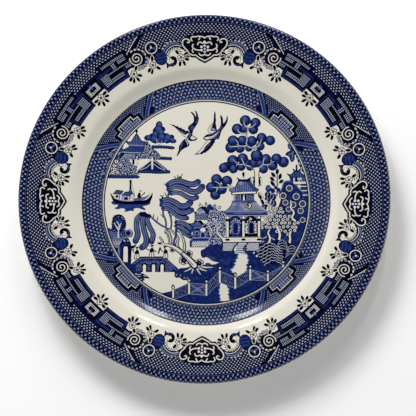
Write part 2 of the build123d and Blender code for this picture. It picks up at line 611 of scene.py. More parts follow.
def medallion_half(c):
    """The right half of the cloud-shaped medallion in the middle of each side."""
    body = [(0, 96.4), (2.5, 97.5), (5.5, 99.2), (7.4, 100.6), (10, 100.8), (12.4, 102), (13.9, 104.4),
            (15.4, 106.4), (16.8, 108.6), (17, 111.6), (15.6, 114.2), (13, 115.3), (11, 116.1)]
    c.fill(np.vstack([smooth(body), [(8, 116.4), (4, 116.2), (0, 116), (-0.4, 116), (-0.4, 96.5)]]), LINE)
    rim = [(0, 98.2), (2.9, 99.6), (5.6, 101.1), (6.9, 102.3), (9.3, 102.4), (11.7, 103.8), (12.9, 106),
           (14.6, 107.9), (15.7, 110), (15.6, 112.2), (14.1, 113.8), (12, 113.7), (10.6, 112.4),
           (11.1, 111.2), (12.2, 111.5)]
    c.curve(rim, 0.85, CREAM)
    c.curve([(0, 113.6), (1.1, 114.5), (2.8, 114.8), (3.4, 113.8), (4, 112.7)], 0.8, CREAM)
    c.curve([(2.6, 114.8), (4.4, 115.1), (6.1, 114.7), (7.9, 115), (9.3, 114.2), (9.3, 113), (8.8, 112.2)],
            0.8, CREAM)
    for points in (
        [(0, 110.9), (1.3, 110.2), (2.9, 110.9), (4.6, 110.5), (5, 109.3)],
        [(8.2, 109.7), (9, 108.6), (8.4, 107.2), (6.6, 106), (4.6, 105.5), (2.6, 105.6)],
        [(8.2, 107), (9.3, 105.7), (8.7, 104.3)], [(0, 102.6), (1.7, 101.8), (3.5, 102.2), (4.3, 103.3)],
    ):
        c.curve(points, 0.85, CREAM)
    c.box(-0.4, 103.6, 2.4, 108.6, NAVY)
    for s, r, size in (
        (0, 110.9, 1.0), (0, 108.5, 0.85), (2.3, 107.7, 0.9), (0, 106.3, 0.7), (2.3, 105.4, 0.9),
        (0, 104.2, 0.8),
    ):
        c.disc(s, r, size, PAPER, sides=12)


def rim_ground(c):
    """The dark ground of the border and the trellis of light dots that fills it."""
    lower = [(0, 112), (10, 113), (15.5, 109.5), (19, 108.8), (23, 109.5), (27, 107.6), (29.5, 104.5),
             (33, 102), (38, 104), (41, 106.5), (44, 107.2), (47, 104.6), (53, 104.8), (57, 106.4),
             (60, 105.8)]
    ground = [(-1, 124.6), (-1, 112)] + lower
    ground += [(60.6, 101.6), (81.8, 101.6), (81.8, 105.4), (89.5, 105.4), (89.5, 124.6)]
    c.fill(ground, DARK)

    def hidden_left(s, r):
        by_medallion = s < 18.5 and r < 117.4 - 0.45 * max(0, s - 6)
        return s > 40.5 + (123.5 - r) * 1.35 or r < 111 or by_medallion

    def hidden_right(s, r):
        return s < 44.5 + (123.5 - r) * 1.42 or (r < 120.2 and 54.6 < s < 77.6) or r < 116

    dotted_rows(c, 0, 60, 123.4, 110, 2.4, 1.33, 1.12, 0.78, MIST, hidden_left)
    dotted_rows(c, 40, 88.6, 123.4, 114, 2.3, 1.5, 1.35, 0.75, MIST, hidden_right)
    c.line([(41.4, 124.2), (56.3, 113.4)], 3.2, LINE)
    c.line([(44, 123.9), (56.9, 114.6)], 0.5, TINT)


def key_panels(c):
    """The interlocking key pattern between the trellis and the cream ground."""
    for s0, r0, s1, r1, tone in (
        (55.2, 111.6, 76.6, 119.6, LINE), (53, 106.2, 66, 113, LINE), (60.6, 101.4, 81.9, 110.2, LINE),
        (68.6, 110, 81.9, 114.8, LINE), (61.1, 101.9, 81.4, 109.8, DEEP), (69.1, 109.6, 81.4, 114.3, DEEP),
        (62.2, 103.2, 80.8, 112.8, LINE), (61.6, 108.9, 73.2, 109.8, LINE),
    ):
        c.box(s0, r0, s1, r1, tone)
    for s0, r0, s1, r1 in (
        (57, 115.7, 75.4, 118.2), (57, 112.9, 63.6, 115.7), (65.4, 111.4, 68.8, 115.8),
        (55, 109.9, 80, 111.5), (55.4, 107.4, 60.2, 109.9), (73.4, 104.1, 80, 112.4),
        (62.8, 104.1, 73.6, 107.6),
    ):
        mesh_bar(c, s0, r0, s1, r1)
    c.box(63.8, 112.2, 64.9, 115.2, LINE)


def middle_key(c):
    """Half of the bracket at the joint between two sectors."""
    c.box(82, 105.6, 89.4, 115.2, LINE)
    for x0, y0, x1, y1 in (
        (83.7, 107.4, 85.9, 112.6), (85.9, 111.6, 86.9, 112.6), (83.7, 107.4, 89.3, 108.9),
    ):
        c.box(x0, y0, x1, y1, TINT)
    for j in range(4):
        for i in range(2):
            c.disc(84.3 + 1.1 * i, 108.2 + 1.2 * j, 0.42, LINE, sides=5)
    for i in range(4):
        c.disc(86.2 + 1.0 * i, 108.2, 0.42, LINE, sides=5)
    c.fill([(87.6, 112.2), (88.9, 114.4), (90, 112.9), (90, 111.5), (88.8, 110.2)], ROYAL)
    c.fill([(88.3, 112.2), (88.9, 113.2), (90, 112.4), (88.9, 111.3)], PALE)


def feather_arch(c):
    """The ruffled arch between the medallion and the ball."""
    arch = [(15.6, 108.4), (18.6, 110.9), (23, 111.6), (27.4, 109.8), (30.4, 106.4), (31.6, 103)]
    for k in range(9):
        a = math.radians(154 - 16.5 * k)
        x, y = 23.2 + 8.6 * math.cos(a), 104.6 + 9.0 * math.sin(a)
        c.disc(x, y, 1.5, LINE, sides=10)
        c.disc(x, y, 1.05, TINT, sides=10, squash=0.7, turn=math.degrees(a) - 25)
        dx, dy = math.cos(a - 0.5), math.sin(a - 0.5)
        c.line([(x - 0.9 * dx, y - 0.9 * dy), (x + 0.5 * dx, y + 0.5 * dy)], 0.4, DEEP, (1, 0.5))
    c.curve(arch, 3.4, LINE)
    c.curve([(x + 0.3, y + 0.9) for x, y in arch], 0.45, PALE)
    c.curve([(x, y + 0.1) for x, y in arch], 0.75, COBALT)
    c.curve([(x - 0.5, y - 0.9) for x, y in arch], 0.5, TINT)
    for k in range(9):
        a = math.radians(152 - 17 * k)
        x, y = 22.8 + 5.2 * math.cos(a), 103.4 + 5.4 * math.sin(a)
        dx, dy = math.cos(a + 0.6), math.sin(a + 0.6)
        c.line([(x + 0.8 * dx, y + 0.8 * dy), (x - 1.6 * dx, y - 1.6 * dy)], 0.75, NAVY if k % 2 else LINE,
               (1, 0.5))


def scroll_and_ball(c):
    """The dark comma scroll and the blue ball beside the first flower."""
    c.blob([(24.6, 103.9), (22.6, 103), (21.7, 100.8), (22.4, 98.6), (24.4, 97.2), (27, 97), (29, 97.5),
            (31.2, 96.4), (30.8, 98.8), (30.4, 101.4), (29, 99.6), (27.2, 98.9), (28, 100.8), (27.4, 102.9),
            (26, 103.8)], LINE)
    c.disc(26.1, 101, 1.75, PAPER, sides=14)
    c.disc(25.1, 102.1, 1.0, LINE, sides=10)
    c.curve([(24.6, 98.3), (27, 98), (29.6, 98.7)], 0.7, COBALT, (0.6, 0.8))
    c.disc(33.4, 104.4, 4.8, LINE, sides=30)
    c.disc(33.4, 104.5, 4.4, DEEP, sides=28)
    for k in range(6):
        r = 101.2 + 1.25 * k
        half = math.sqrt(max(0.1, 3.8**2 - (r - 104.4) ** 2))
        c.curve([(33.4 - half, r + 0.3), (33.4 - 0.3 * half, r - 0.4), (33.4 + 0.4 * half, r + 0.4),
                 (33.4 + half, r - 0.2)], 0.42, BLUE if k % 2 else DARK, (0.5, 0.8))


def ringed_trefoil(c):
    """The white-ringed roundel with a bud and two leaves in it."""
    c.disc(37.8, 113.3, 4.9, LINE, sides=30)
    c.disc(37.8, 113.3, 4.3, CREAM, sides=30)
    c.disc(37.8, 113.3, 3.6, LINE, sides=26)
    for turn in (212, 328):
        a = math.radians(turn)
        c.disc(37.8 + 1.9 * math.cos(a), 113.4 + 1.9 * math.sin(a), 1.15, BLUE, sides=12, squash=0.8,
               turn=turn)
    c.disc(37.8, 114.4, 1.5, BLUE, sides=12, squash=0.5, turn=90)
    c.disc(37.8, 113.6, 0.65, CREAM, sides=10, squash=1.2)


def spiral_shell(c):
    """The spiral between the divider and the key panels, with its ruffles."""
    for k in range(7):
        a = math.radians(222 - 24 * k)
        x, y = 50 + 6.7 * math.cos(a), 110.2 + 6.3 * math.sin(a)
        c.disc(x, y, 1.5, LINE, sides=9, squash=0.8, turn=222 - 24 * k + 90)
        c.disc(x, y, 1.05, TINT, sides=9, squash=0.55, turn=222 - 24 * k + 90)
    c.disc(50.2, 110.4, 5.6, LINE, sides=26)
    t = np.radians(np.linspace(-60, 640, 42))
    reach = np.linspace(4.9, 0.7, 42)
    c.line(np.column_stack([50.2 + reach * np.cos(-t - 0.6), 110.4 + reach * np.sin(-t - 0.6)]), 0.72,
           CREAM)
    for s, r, turn in (
        (42.8, 107.4, 70), (44.4, 105.4, 50), (46.4, 103.9, 30), (49, 103, 5), (51.6, 103.3, -20),
        (53.6, 104.6, -40),
    ):
        c.disc(s, r, 1.7, DARK, sides=9, squash=0.75, turn=turn)
        c.disc(s, r, 1.25, TINT, sides=8, squash=0.6, turn=turn)
        c.disc(s, r, 0.8, ROYAL, sides=8, squash=0.4, turn=turn)


def draw_rim():
    """The whole rim border and edge band, from the cream ground out over the lip."""
    c = Canvas()
    places = sectors(MEDALLIONS, HALF_SECTOR)
    c.fill(round_shape(0, 0, LIP_END, sides=360), PAPER)
    c.fill(round_shape(0, 0, EDGE_BAND_END, sides=360), DARK)
    c.fill(round_shape(0, 0, EDGE_BAND_START, sides=360), PAPER)
    c.places = places
    rim_ground(c)
    c.places = AS_DRAWN
    for radius, width, tone in ((124.5, 1.0, LINE), (124.75, 0.28, WASH)):
        c.fill(band(arc(0, 0, radius, 0, 360, 361), width), tone)
    count = 232  # dots in each row of the edge band
    for row, radius in enumerate((126.2, 128.1, 129.9)):
        for k in range(count):
            a = 2 * math.pi * (k + 0.5 * (row % 2)) / count
            turn = math.degrees(a) + (25 if row % 2 else -25)
            c.disc(radius * math.cos(a), radius * math.sin(a), 0.9, PALE, sides=6, squash=0.66, turn=turn)
    c.places = places
    feather_arch(c)
    key_panels(c)
    middle_key(c)
    spiral_shell(c)
    ringed_trefoil(c)
    scroll_and_ball(c)
    medallion_half(c)
    daisy(c, 18.3, 101.9, (155, 182, 203, 248, 292, 60))
    daisy(c, 41, 101.8, (222, 302, 330, 106))
    daisy(c, 57.2, 101.8, (216, 258, 302, 333, 140))
    daisy(c, 88.5, 102.4, (202, 246, 172))
    return c


# ================= well border =================

WELL_HALF_SECTOR = 63.6  # length of half a sector of the well border


def well_half_sector(c):
    """From the middle of one side of the well border to the middle of its stepped cartouche."""
    pitch, step = 2.7, 2.3
    cells = []
    for j in range(6):
        r = 85.9 - step * j
        for i in range(15):
            s = (i + 0.5 * (j % 2)) * pitch
            if s < 33.4 + (87 - r) * 0.95:
                cells.append((i, j, s, r))
    for i, j, s, r in cells:
        c.disc(s + pitch / 2, r, 0.95, ROYAL, sides=4, turn=20)
        c.disc(s, r - step / 2, 0.75, COBALT, sides=4)
    for i, j, s, r in cells:
        turn = (40, 140)[(i + j // 2) % 2] + 16 * math.sin(3.1 * i + 1.7 * j)
        c.disc(s, r, 1.5, LINE, sides=10, squash=0.66, turn=turn)
        c.disc(s, r, 1.08, 0.34 + 0.06 * math.sin(2.3 * i + j), sides=8, squash=0.52, turn=turn)
        c.disc(s, r, 0.5, HAZE, sides=6, squash=0.5, turn=turn)
    band_ends = [(37.3, 87.2), (49.6, 73.8)]
    for shift, width, tone in (
        (-0.6, 4.4, LINE), (-1.5, 1.3, ROYAL), (-2.5, 0.4, PALE), (0.3, 0.9, BLUE), (1.3, 0.5, HAZE),
    ):
        c.line([(x + shift, r) for x, r in band_ends], width, tone)

    def hidden(s, r):
        beyond_step = s > WELL_HALF_SECTOR - (8.8 if r > 80.6 else 13.2) and r < 84.4
        return s < 39.9 + (87.2 - r) * 0.92 or beyond_step

    c.fill([(38.6, 87.2), (64, 87.2), (64, 73.4), (50.6, 73.4)], DARK)
    dotted_rows(c, 35, WELL_HALF_SECTOR, 86.6, 74, 1.6, 1.15, 0.95, 0.7, PALE, hidden)


def stepped_cartouche(c):
    """Half of the stepped panel with its light grid, in millimetres out from its middle."""
    c.fill([(-0.5, 73), (-0.5, 84.5), (8.8, 84.5), (9.2, 81), (13.4, 80.4), (13.4, 73)], SKY)
    c.fill([(-0.5, 73), (-0.5, 84.1), (8.4, 84.1), (8.8, 80.6), (13, 80), (13, 73)], LINE)
    c.fill([(-0.5, 73), (-0.5, 81.8), (6.4, 81.8), (6.4, 78.6), (10.3, 78.6), (10.3, 73)], TINT)
    c.fill([(-0.5, 73), (-0.5, 81.2), (5.8, 81.2), (5.8, 78), (9.7, 78), (9.7, 73)], LINE)
    for j in range(4):
        for i in range(6):
            s, r = i * 1.9, 80.3 - j * 1.85
            if s < 5.6 or (r < 77.8 and s < 9.6):
                c.box(max(s - 0.68, -0.4), r - 0.66, s + 0.68, r + 0.66, 0.34 - 0.05 * (j % 2))


def draw_well_border(c):
    """The border round the flat of the well, between the scene and the cream cavetto."""
    c.fill(round_shape(0, 0, WELL_BORDER_END, sides=300), LINE)
    c.fill(round_shape(0, 0, 87.0, sides=300), DARK)
    places = sectors(CARTOUCHES, WELL_HALF_SECTOR)
    c.places = [from_far_end(place, WELL_HALF_SECTOR) for place in places]
    well_half_sector(c)
    c.places = places
    stepped_cartouche(c)
    c.places = AS_DRAWN
    c.fill(band(arc(0, 0, 90, 0, 360, 361), 5), PAPER)
    for radius, tone in ((74.0, LINE), (73.2, PALE), (72.6, LINE), (SCENE_EDGE, PAPER)):
        c.fill(round_shape(0, 0, radius, sides=260), tone)


# ================= centre scene =================


def left_bird(c):
    """The bird that flies up from the left, with its wings raised."""
    c.curve([(-22, 53.6), (-18.6, 50.4), (-15.8, 47.2), (-13.4, 46)], 0.4, LINE)
    c.fill([(-26.5, 56.3), (-23.5, 55.2), (-22.5, 55.4), (-21.4, 54.3), (-20, 54.4), (-19, 53.2),
            (-17.6, 53.3), (-16.7, 52.1), (-15.4, 52.1), (-14.6, 50.9), (-12.6, 51), (-11.6, 49.4),
            (-13.4, 48.8), (-14.8, 47.7), (-17, 49.4), (-19.5, 51.4), (-22, 53.5), (-24.6, 55)], DARK)
    c.curve([(-20.5, 52.9), (-17.6, 51), (-15, 49.2)], 0.45, WASH, (0.3, 1))
    c.blob([(-15.2, 45), (-17.6, 42.3), (-19.1, 39.6), (-19.4, 37), (-20.9, 32.7), (-19.6, 33.6),
            (-17.9, 36.2), (-15.6, 38.1), (-12.6, 39.6), (-11.6, 41.3), (-12.6, 43.4), (-13.8, 45.2)], DARK)
    c.curve([(-16.6, 41.8), (-18, 38.6), (-18.6, 36)], 0.9, BLUE, (1, 0.3))
    c.curve([(-14.6, 44.6), (-13.4, 42.6), (-13, 40.9)], 0.5, TINT)
    c.curve([(-13.4, 44.6), (-12.6, 42.8), (-12.6, 41.6)], 0.35, MIST)
    body = [(-13.6, 46.2), (-12.6, 48), (-11.6, 50), (-12.8, 52.4), (-12, 54.6), (-9.6, 56.3), (-8.6, 58.2),
            (-8.7, 60.6), (-9.6, 62.6), (-10.9, 64.2), (-9.9, 64.5), (-8.2, 62.8), (-7.4, 60.8), (-7.2, 62),
            (-7.2, 63.6), (-8, 65), (-7, 65), (-5.9, 63), (-5.5, 61), (-5, 59.7), (-5.6, 57), (-6.8, 54.6),
            (-8.8, 51.6), (-9.4, 49.4), (-9.6, 47.6), (-8, 46.9), (-6, 45.1), (-8, 43.7), (-10.5, 43.3),
            (-12.4, 44.2)]
    c.blob(body, DARK, 1.0)
    c.blob([(-10.4, 47), (-9.4, 46.9), (-7.9, 46.3), (-6.9, 45.4), (-8.4, 44.6), (-10, 44.6),
            (-10.9, 45.6)], CREAM)
    c.disc(-8.7, 45.6, 0.34, LINE, sides=8)
    c.blob([(-11, 54), (-9.6, 54.6), (-8, 53.6), (-9.6, 51.6), (-11.2, 52)], COBALT)
    c.curve([(-7, 56.6), (-6.4, 58.6), (-6.3, 60.4)], 0.9, BLUE, (1, 0.4))
    c.curve([(-12.4, 45.6), (-11.6, 47.2), (-10.8, 48.8)], 1.0, WASH, (0.5, 1))
    c.curve([(-14.6, 47), (-13.4, 48.3), (-12.2, 48.9)], 0.6, TINT)


def right_bird(c):
    """The bird that comes to meet it, with its head low."""
    c.fill([(6.2, 65.1), (6.9, 63), (6.8, 60.6), (7.1, 58.4), (6.9, 56), (7.3, 53.6), (7.7, 51),
            (5.4, 50.4), (3.2, 50.6), (2.9, 51.6), (4, 53.4), (5, 56), (5.5, 59), (5.6, 62)], DARK)
    c.blob([(3.2, 51.6), (4.6, 51.2), (6.6, 50.8), (6.3, 52), (4.6, 52.8)], PALE)
    c.curve([(4.9, 56), (2.6, 53.8), (1.4, 51.6), (1.8, 49.8), (3.4, 48.8)], 0.4, LINE)
    c.curve([(0.9, 43), (-1.2, 40.9), (-3.4, 37.8), (-7.4, 34)], 0.4, LINE)
    c.fill([(-8.2, 33.6), (-6.6, 34.6), (-4.4, 34.6), (-3.2, 35.8), (-1.6, 37.4), (-0.6, 39.4), (0.8, 40.9),
            (2.6, 42.6), (4.2, 44), (6.4, 43.9), (6.2, 42.2), (5, 41.1), (4.9, 39.9), (3.6, 39.2),
            (3.5, 38.1), (2.2, 37.5), (2, 36.6), (0.7, 36), (-0.4, 35), (-1.6, 34.9), (-2.6, 34),
            (-5, 33.9)], DARK)
    c.curve([(-3, 35.9), (0, 38.4), (3, 41.6)], 0.5, WASH, (0.4, 1))
    body = [(-2, 45.7), (-0.8, 47), (0.8, 48.2), (3, 48.5), (5, 49.3), (7, 50.7), (9.2, 52.2), (10.3, 54.4),
            (10.5, 57.6), (10.1, 61), (10.3, 62), (11.3, 61), (12.1, 58.6), (12.2, 55.9), (13.2, 56.8),
            (14.4, 58.9), (14.6, 61.3), (15.3, 60.6), (15.5, 58.4), (14.7, 55.8), (13, 53.2), (11, 50.6),
            (10.2, 47.8), (9.4, 45.9), (8.8, 44.4), (7.8, 44.9), (6.4, 43.9), (4.4, 43.4), (2, 43.9),
            (0.4, 43.6), (-1.4, 44.4)]
    c.blob(body, DARK, 1.0)
    c.blob([(-1, 45.8), (1.6, 46.4), (4.4, 46.9), (6.6, 48.3), (9.6, 50.4), (8.8, 49), (6.6, 46.8),
            (4, 45.2), (1.2, 44.6), (-0.6, 44.9)], CREAM)
    c.curve([(2, 47.6), (5, 48.4), (8, 50.2), (11.6, 53.4)], 0.8, BLUE, (0.4, 0.8))
    c.curve([(1.6, 45.4), (4.4, 45.9), (6.8, 47.6), (9, 49.6)], 0.9, SKY, (0.4, 0.6))
    c.curve([(3.2, 44.8), (5.6, 45.4), (7.6, 47)], 0.6, BLUE, (0.4, 0.6))
    c.curve([(6, 44.9), (8, 46.2), (9.4, 48.6)], 0.7, BLUE, (0.6, 0.4))


def tree_balls(c):
    """The great tree on the right, made of round clusters, with its pale branches and trunk."""
    back = [(33.5, 51.3, 3.5), (30.3, 38.1, 2.7), (38.4, 39.2, 3.1), (24, 37.9, 3.4), (17.6, 38.6, 4.0),
            (14.2, 24.9, 3.4), (24.8, 24.8, 3.1), (31, 24.4, 2.6), (34.2, 27.2, 3.9), (38.2, 26.9, 3.5),
            (47, 25.2, 3.5), (6.6, 5.0, 3.7), (28.6, 27.6, 3.0), (8.4, 11.8, 2.2)]
    front = [(27.8, 57.8, 3.9), (35, 56, 3.7), (22.1, 51.8, 3.9), (26.9, 51.7, 2.8), (19.1, 43.4, 3.9),
             (25.7, 43.4, 3.7), (32.4, 43, 3.8), (39.3, 45.2, 3.7), (45.3, 43.3, 3.6), (18.9, 29.2, 4.0),
             (25.9, 30.7, 3.8), (42.2, 30.1, 3.7), (54.6, 27.8, 3.9), (49.7, 30.2, 3.8), (19.3, 23.3, 3.3),
             (40.5, 23, 3.3), (35.7, 32.6, 4.3), (12.6, 24, 3.6), (3.7, 10.3, 3.8), (7.4, 15.9, 3.9),
             (14.7, 14.6, 3.9), (11.2, 8.8, 3.6)]
    for x, y, r in back + front:
        ball(c, x, y, r)
    for points in (
        [(27, 57.6), (26.9, 55.6), (28.2, 53.4), (29.4, 52.3)],
        [(35, 55.6), (33.4, 53.8), (31, 52.8), (29.4, 52.3)],
        [(29.4, 52.4), (29.2, 49.6), (28.6, 47), (29, 44), (28.4, 41.4), (29.4, 39.4), (32, 38.2),
         (34.2, 38)],
        [(22.2, 51.4), (23.4, 49.6), (25.6, 48.6), (28.3, 48.4)],
        [(20.6, 44.4), (22.4, 42.2), (23, 40), (26.4, 39.4), (28.9, 40)],
        [(16.6, 39.4), (19.6, 39.2), (22.8, 39.4)], [(39.4, 44.6), (38.4, 41.8), (36.8, 39.4), (34.4, 38)],
        [(33.6, 38.6), (34.2, 36.6), (35, 36.4), (35.6, 38.2)],
        [(19, 29.9), (21.4, 27.8), (23, 26.4), (26.6, 26.4), (28.6, 25.6), (31, 24.9), (33.4, 22.8)],
        [(24.8, 31), (26, 28.8), (26.6, 27), (27.4, 26)], [(41.4, 31.2), (40.4, 28.8), (40.3, 26.4)],
        [(47.8, 28.2), (46, 27.6), (44.4, 25.9), (40.3, 26.1), (38.4, 24.6), (37, 23.4)],
        [(6.6, 14.4), (9.4, 12.8), (10.6, 10.6), (12.4, 10.1), (15.6, 10.4)],
        [(4, 10), (7.4, 10.3), (12, 10.2)], [(7.4, 7.4), (8.2, 9.4), (8.6, 10.2)],
    ):
        c.curve(points, 1.35, NAVY, (0.7, 1))
        c.curve(points, 0.75, MIST, (0.6, 1.2))
    c.edged_curve([(15.4, 12), (17.4, 10.6), (19.8, 9.3)], 0.9, CREAM, 0.35)
    trunk = [(33.2, 23.4), (34.6, 21.6), (35, 18), (35, 13), (34.6, 10), (36.4, 9.6), (37.6, 10.4),
             (37.4, 13), (36.9, 17), (37, 20), (37.6, 23.6), (36, 24.2)]
    c.blob(trunk, PAPER)
    c.curve([(31.6, 24.4), (33.6, 22.7), (34.2, 20.6), (34.3, 17.6), (34.1, 13.6), (34.3, 10.2)], 0.55,
            LINE)
    c.curve([(38, 23.6), (37.4, 20.6), (37.2, 17.6), (37.6, 13.6), (37.2, 10.4)], 0.55, LINE)
    for side, x in ((-1, 33.6), (1, 38.0)):
        c.disc(x + 0.3 * side, 14.3, 3.3, LINE, sides=16, squash=0.42, turn=90)
        c.disc(x + 0.7 * side, 14.3, 2.6, CREAM, sides=14, squash=0.34, turn=90)
        c.disc(x - 0.1 * side, 13.8, 2.0, LINE, sides=12, squash=0.32, turn=90)


def roof(c, outline, tone, tile_tone, count):
    """A swept roof with its dark outline and fine tile lines from the ridge to the eave."""
    p = smooth(outline, True, 1.2)
    c.fill(p, tone)
    low, high = p.min(0), p.max(0)
    for x in np.linspace(low[0], high[0], count + 2)[1:-1]:
        column = np.column_stack([np.full(24, x), np.linspace(low[1], high[1], 24)])
        within = column[inside(p, column)]
        if len(within) > 2:
            c.line([within[0] + (0, 0.3), within[-1] - (0, 0.3)], 0.4, tile_tone)
    c.fill(band(np.vstack([p, p[:1]]), 0.55), LINE)


def pagoda_top(c):
    """The great pagoda's upper storey, its ridge and its upper roof."""
    c.box(19.2, -1, 34, 6, PALE)
    for x0, x1, tone in (
        (19.6, 20.4, TINT), (20.6, 23.8, NAVY), (24.6, 26, LINE), (27.2, 28.6, LINE), (29, 33.6, NAVY),
    ):
        c.box(x0, -0.4, x1, 5.4, tone)
    c.fill([(26.6, 4.6), (27.6, 0.4), (25.7, 0.4)], PAPER)
    for x, y in ((22, 2.4), (31.2, 2.4)):
        c.hoop(x, y, 1.1, 0.5, PALE, 10)
        c.hoop(x, y + 0.1, 2.0, 0.4, SKY, 12)
    roof(c, [(16.2, 8.9), (18.4, 9.3), (20.6, 10.4), (21.6, 12.4), (23.6, 14.8), (30.6, 15), (32.6, 12.2),
             (34.4, 10), (37, 8.6), (36, 7.2), (30, 6.9), (24, 6.7), (18.2, 6.4)], COBALT, PALE, 15)
    c.blob([(16.4, 8.8), (18.4, 9.2), (20.4, 9.6), (19.8, 7.6), (18, 7.4)], SKY)
    c.fill([(28, 14.4), (30.2, 14.6), (36.2, 8.4), (33.6, 7.4)], NAVY)
    for k in range(4):
        c.line([(28.6 + 1.1 * k, 13.9 - 0.2 * k), (33.2 + 0.95 * k, 8.0 + 0.25 * k)], 0.35, WASH)
    c.disc(24.6, 13.2, 1.1, MIST, sides=12)
    c.disc(24.6, 13.1, 0.5, DARK, sides=8)
    c.blob([(21.5, 17), (22.6, 16.9), (24.2, 15.9), (29, 15.9), (30.4, 16.8), (31.8, 17.2), (31.4, 15.8),
            (30.6, 14.2), (23, 14.2), (22.6, 15.4)], DARK)
    c.disc(26.5, 17.6, 0.8, HAZE, sides=8, squash=1.8)
    c.disc(26.4, 19.4, 1.7, LINE, sides=12, squash=0.55, turn=90)
    c.line([(18.6, 5.6), (27, 6.3), (35.2, 6.3)], 2.1, LINE)
    c.line([(19, 5.7), (27, 6.3), (34.8, 6.3)], 1.15, PAPER)


def pagoda_lower_roof(c):
    """The great pagoda's wide lower roof and its eaves."""
    eaves = [(12.6, -7.4), (15.6, -5.4), (17.6, -3), (18.6, -0.4), (19, 0.6), (34.4, 0.6), (36, -1.4),
             (38.6, -3.8), (42.6, -6.4), (43, -9.2), (28, -8.4), (14, -8.6)]
    c.blob(eaves, SKY, 1.2)
    c.blob([(12.8, -7.2), (15.6, -5.2), (17.4, -2.8), (19, -0.8), (21, -1), (20, -4), (17, -6.6)], PALE)
    c.curve([(12.6, -7.2), (15.6, -5.2), (17.6, -2.8), (18.8, 0.2)], 0.5, LINE)
    c.fill([(23.2, -1.2), (33.2, 0), (40.6, -6.8), (31, -6.8)], NAVY)
    for k in range(12):
        c.line([(24 + 1.05 * k, -1.4 + 0.05 * k), (27.6 + 1.3 * k, -6.4)], 0.42, MIST)
    c.fill([(19, 0.8), (34.4, 0.8), (35.4, -0.4), (18.6, -0.6)], BLUE)
    for k in range(7):
        c.line([(17.8 + 0.9 * k, -3.2), (15.6 + 1.1 * k, -6.8)], 0.3, COBALT)
    c.curve([(30.2, -4.6), (31.4, -3.6), (31.2, -2), (30.2, -1.6), (29.4, -2.6)], 1.5, LINE)
    c.curve([(30.2, -4.4), (31.2, -3.4), (31, -2.2), (30.3, -2)], 0.8, PAPER)
    c.fill([(13, -7), (28, -7), (42.8, -7.6), (43, -10), (28, -10.2), (14, -10.2)], ROYAL)
    c.line([(14, -7.2), (28, -7), (42, -7.4)], 0.6, PALE)
    c.line([(20, -8.2), (40, -8.2)], 0.45, PALE)
    c.line([(14, -10), (41.6, -10)], 0.6, HAZE)
    c.line([(27, -8.9), (41, -9)], 0.9, DARK)


def pagoda_storey(c):
    """The great pagoda's columns and its two arches, the left one blue and the right one dark."""
    c.box(14, -25, 38.6, -10.2, DARK)
    for middle, tone, pitch, seed, fleck, fleck_tone, door_tone in (
        (20.6, ROYAL, 1.35, 7, 0.46, MIST, NAVY), (31.7, LINE, 1.6, 8, 0.55, CREAM, DARK),
    ):
        c.box(middle - 4.7, -25, middle + 4.7, -10.4, PALE)
        c.arch(middle, -14.6, 4.5, 14, middle - 4.5, middle + 4.5, -25, LINE)
        c.arch(middle, -14.8, 3.7, 14, middle - 3.7, middle + 3.7, -24.8, tone)
        screen = [(middle - 3.6, -22.6), (middle + 3.6, -22.6), (middle + 3.6, -14), (middle, -11.4),
                  (middle - 3.6, -14)]
        for x, y in scatter(screen, pitch, seed):
            c.disc(x, y, fleck, fleck_tone, sides=6)
        c.arch(middle + 0.2, -16.6, 2.2, 10, middle - 2, middle + 2.4, -23, SKY)
        c.arch(middle + 0.2, -16.6, 1.6, 10, middle - 1.4, middle + 1.8, -22.6, door_tone)
        for k in range(3):
            c.disc(middle - 3.1 + 3.2 * k, -24, 0.85, LINE, sides=8, squash=1.0)
    for k in range(5):
        y = -16 - 1.5 * k
        c.disc(28.2 + 0.2 * (k % 2), y, 0.75, PAPER, sides=8, squash=0.7)
        c.disc(35 - 0.2 * (k % 2), y, 0.75, PAPER, sides=8, squash=0.7)
    for x in (15.1, 26.3, 37.2):
        c.box(x - 1.25, -26, x + 1.25, -10.6, LINE)
        c.disc(x, -11.4, 0.95, PAPER, sides=10)
        c.box(x - 1.4, -14, x + 1.4, -12.4, DARK)
        c.box(x - 0.75, -25.6, x + 0.75, -14, PAPER)
    c.box(12, -28.7, 38.8, -25.4, CREAM)
    c.line([(12, -25.3), (38.6, -25.3)], 0.45, LINE)
    c.line([(17.4, -27), (24, -27)], 0.22, MIST)
    c.line([(28.6, -27), (35, -27)], 0.22, MIST)
    for x in (15.1, 26.3, 37.2):
        c.disc(x, -27, 1.7, LINE, sides=12, squash=0.5)
    c.line([(11.6, -29), (39, -29)], 0.7, DARK)


def pagoda_plinth(c):
    """The great pagoda's plinth and the steps down to the water."""
    for x0, x1 in ((11.6, 21.4), (28.6, 37)):
        c.box(x0, -34.8, x1, -29.4, BLUE)
        lattice(c, [(x0, -34.8), (x1, -34.8), (x1, -29.4), (x0, -29.4)], round((x1 - x0) / 1.5), 6, 0.62,
                TINT)
    c.line([(11.6, -29.4), (11.5, -34.6)], 0.8, DARK)
    c.fill([(22.4, -29.4), (29.4, -29.4), (27, -33.6), (28.6, -36.8), (20.2, -36.8), (19, -33.6)], TINT)
    for k in range(5):
        y = -30.8 - 1.3 * k
        c.line([(20.2 - 0.2 * k + 1.6, y), (27.8 - 0.3 * k, y)], 0.55, WASH if k < 3 else ROYAL)
    for points in (
        [(22.4, -29.4), (20.3, -31.6), (18.8, -33.9)], [(18.8, -33.9), (19.9, -36.2)],
        [(29.4, -29.4), (27.6, -31.4), (26.2, -33.8)], [(26.2, -33.8), (28, -36.2)],
    ):
        c.line(points, 1.0, LINE)


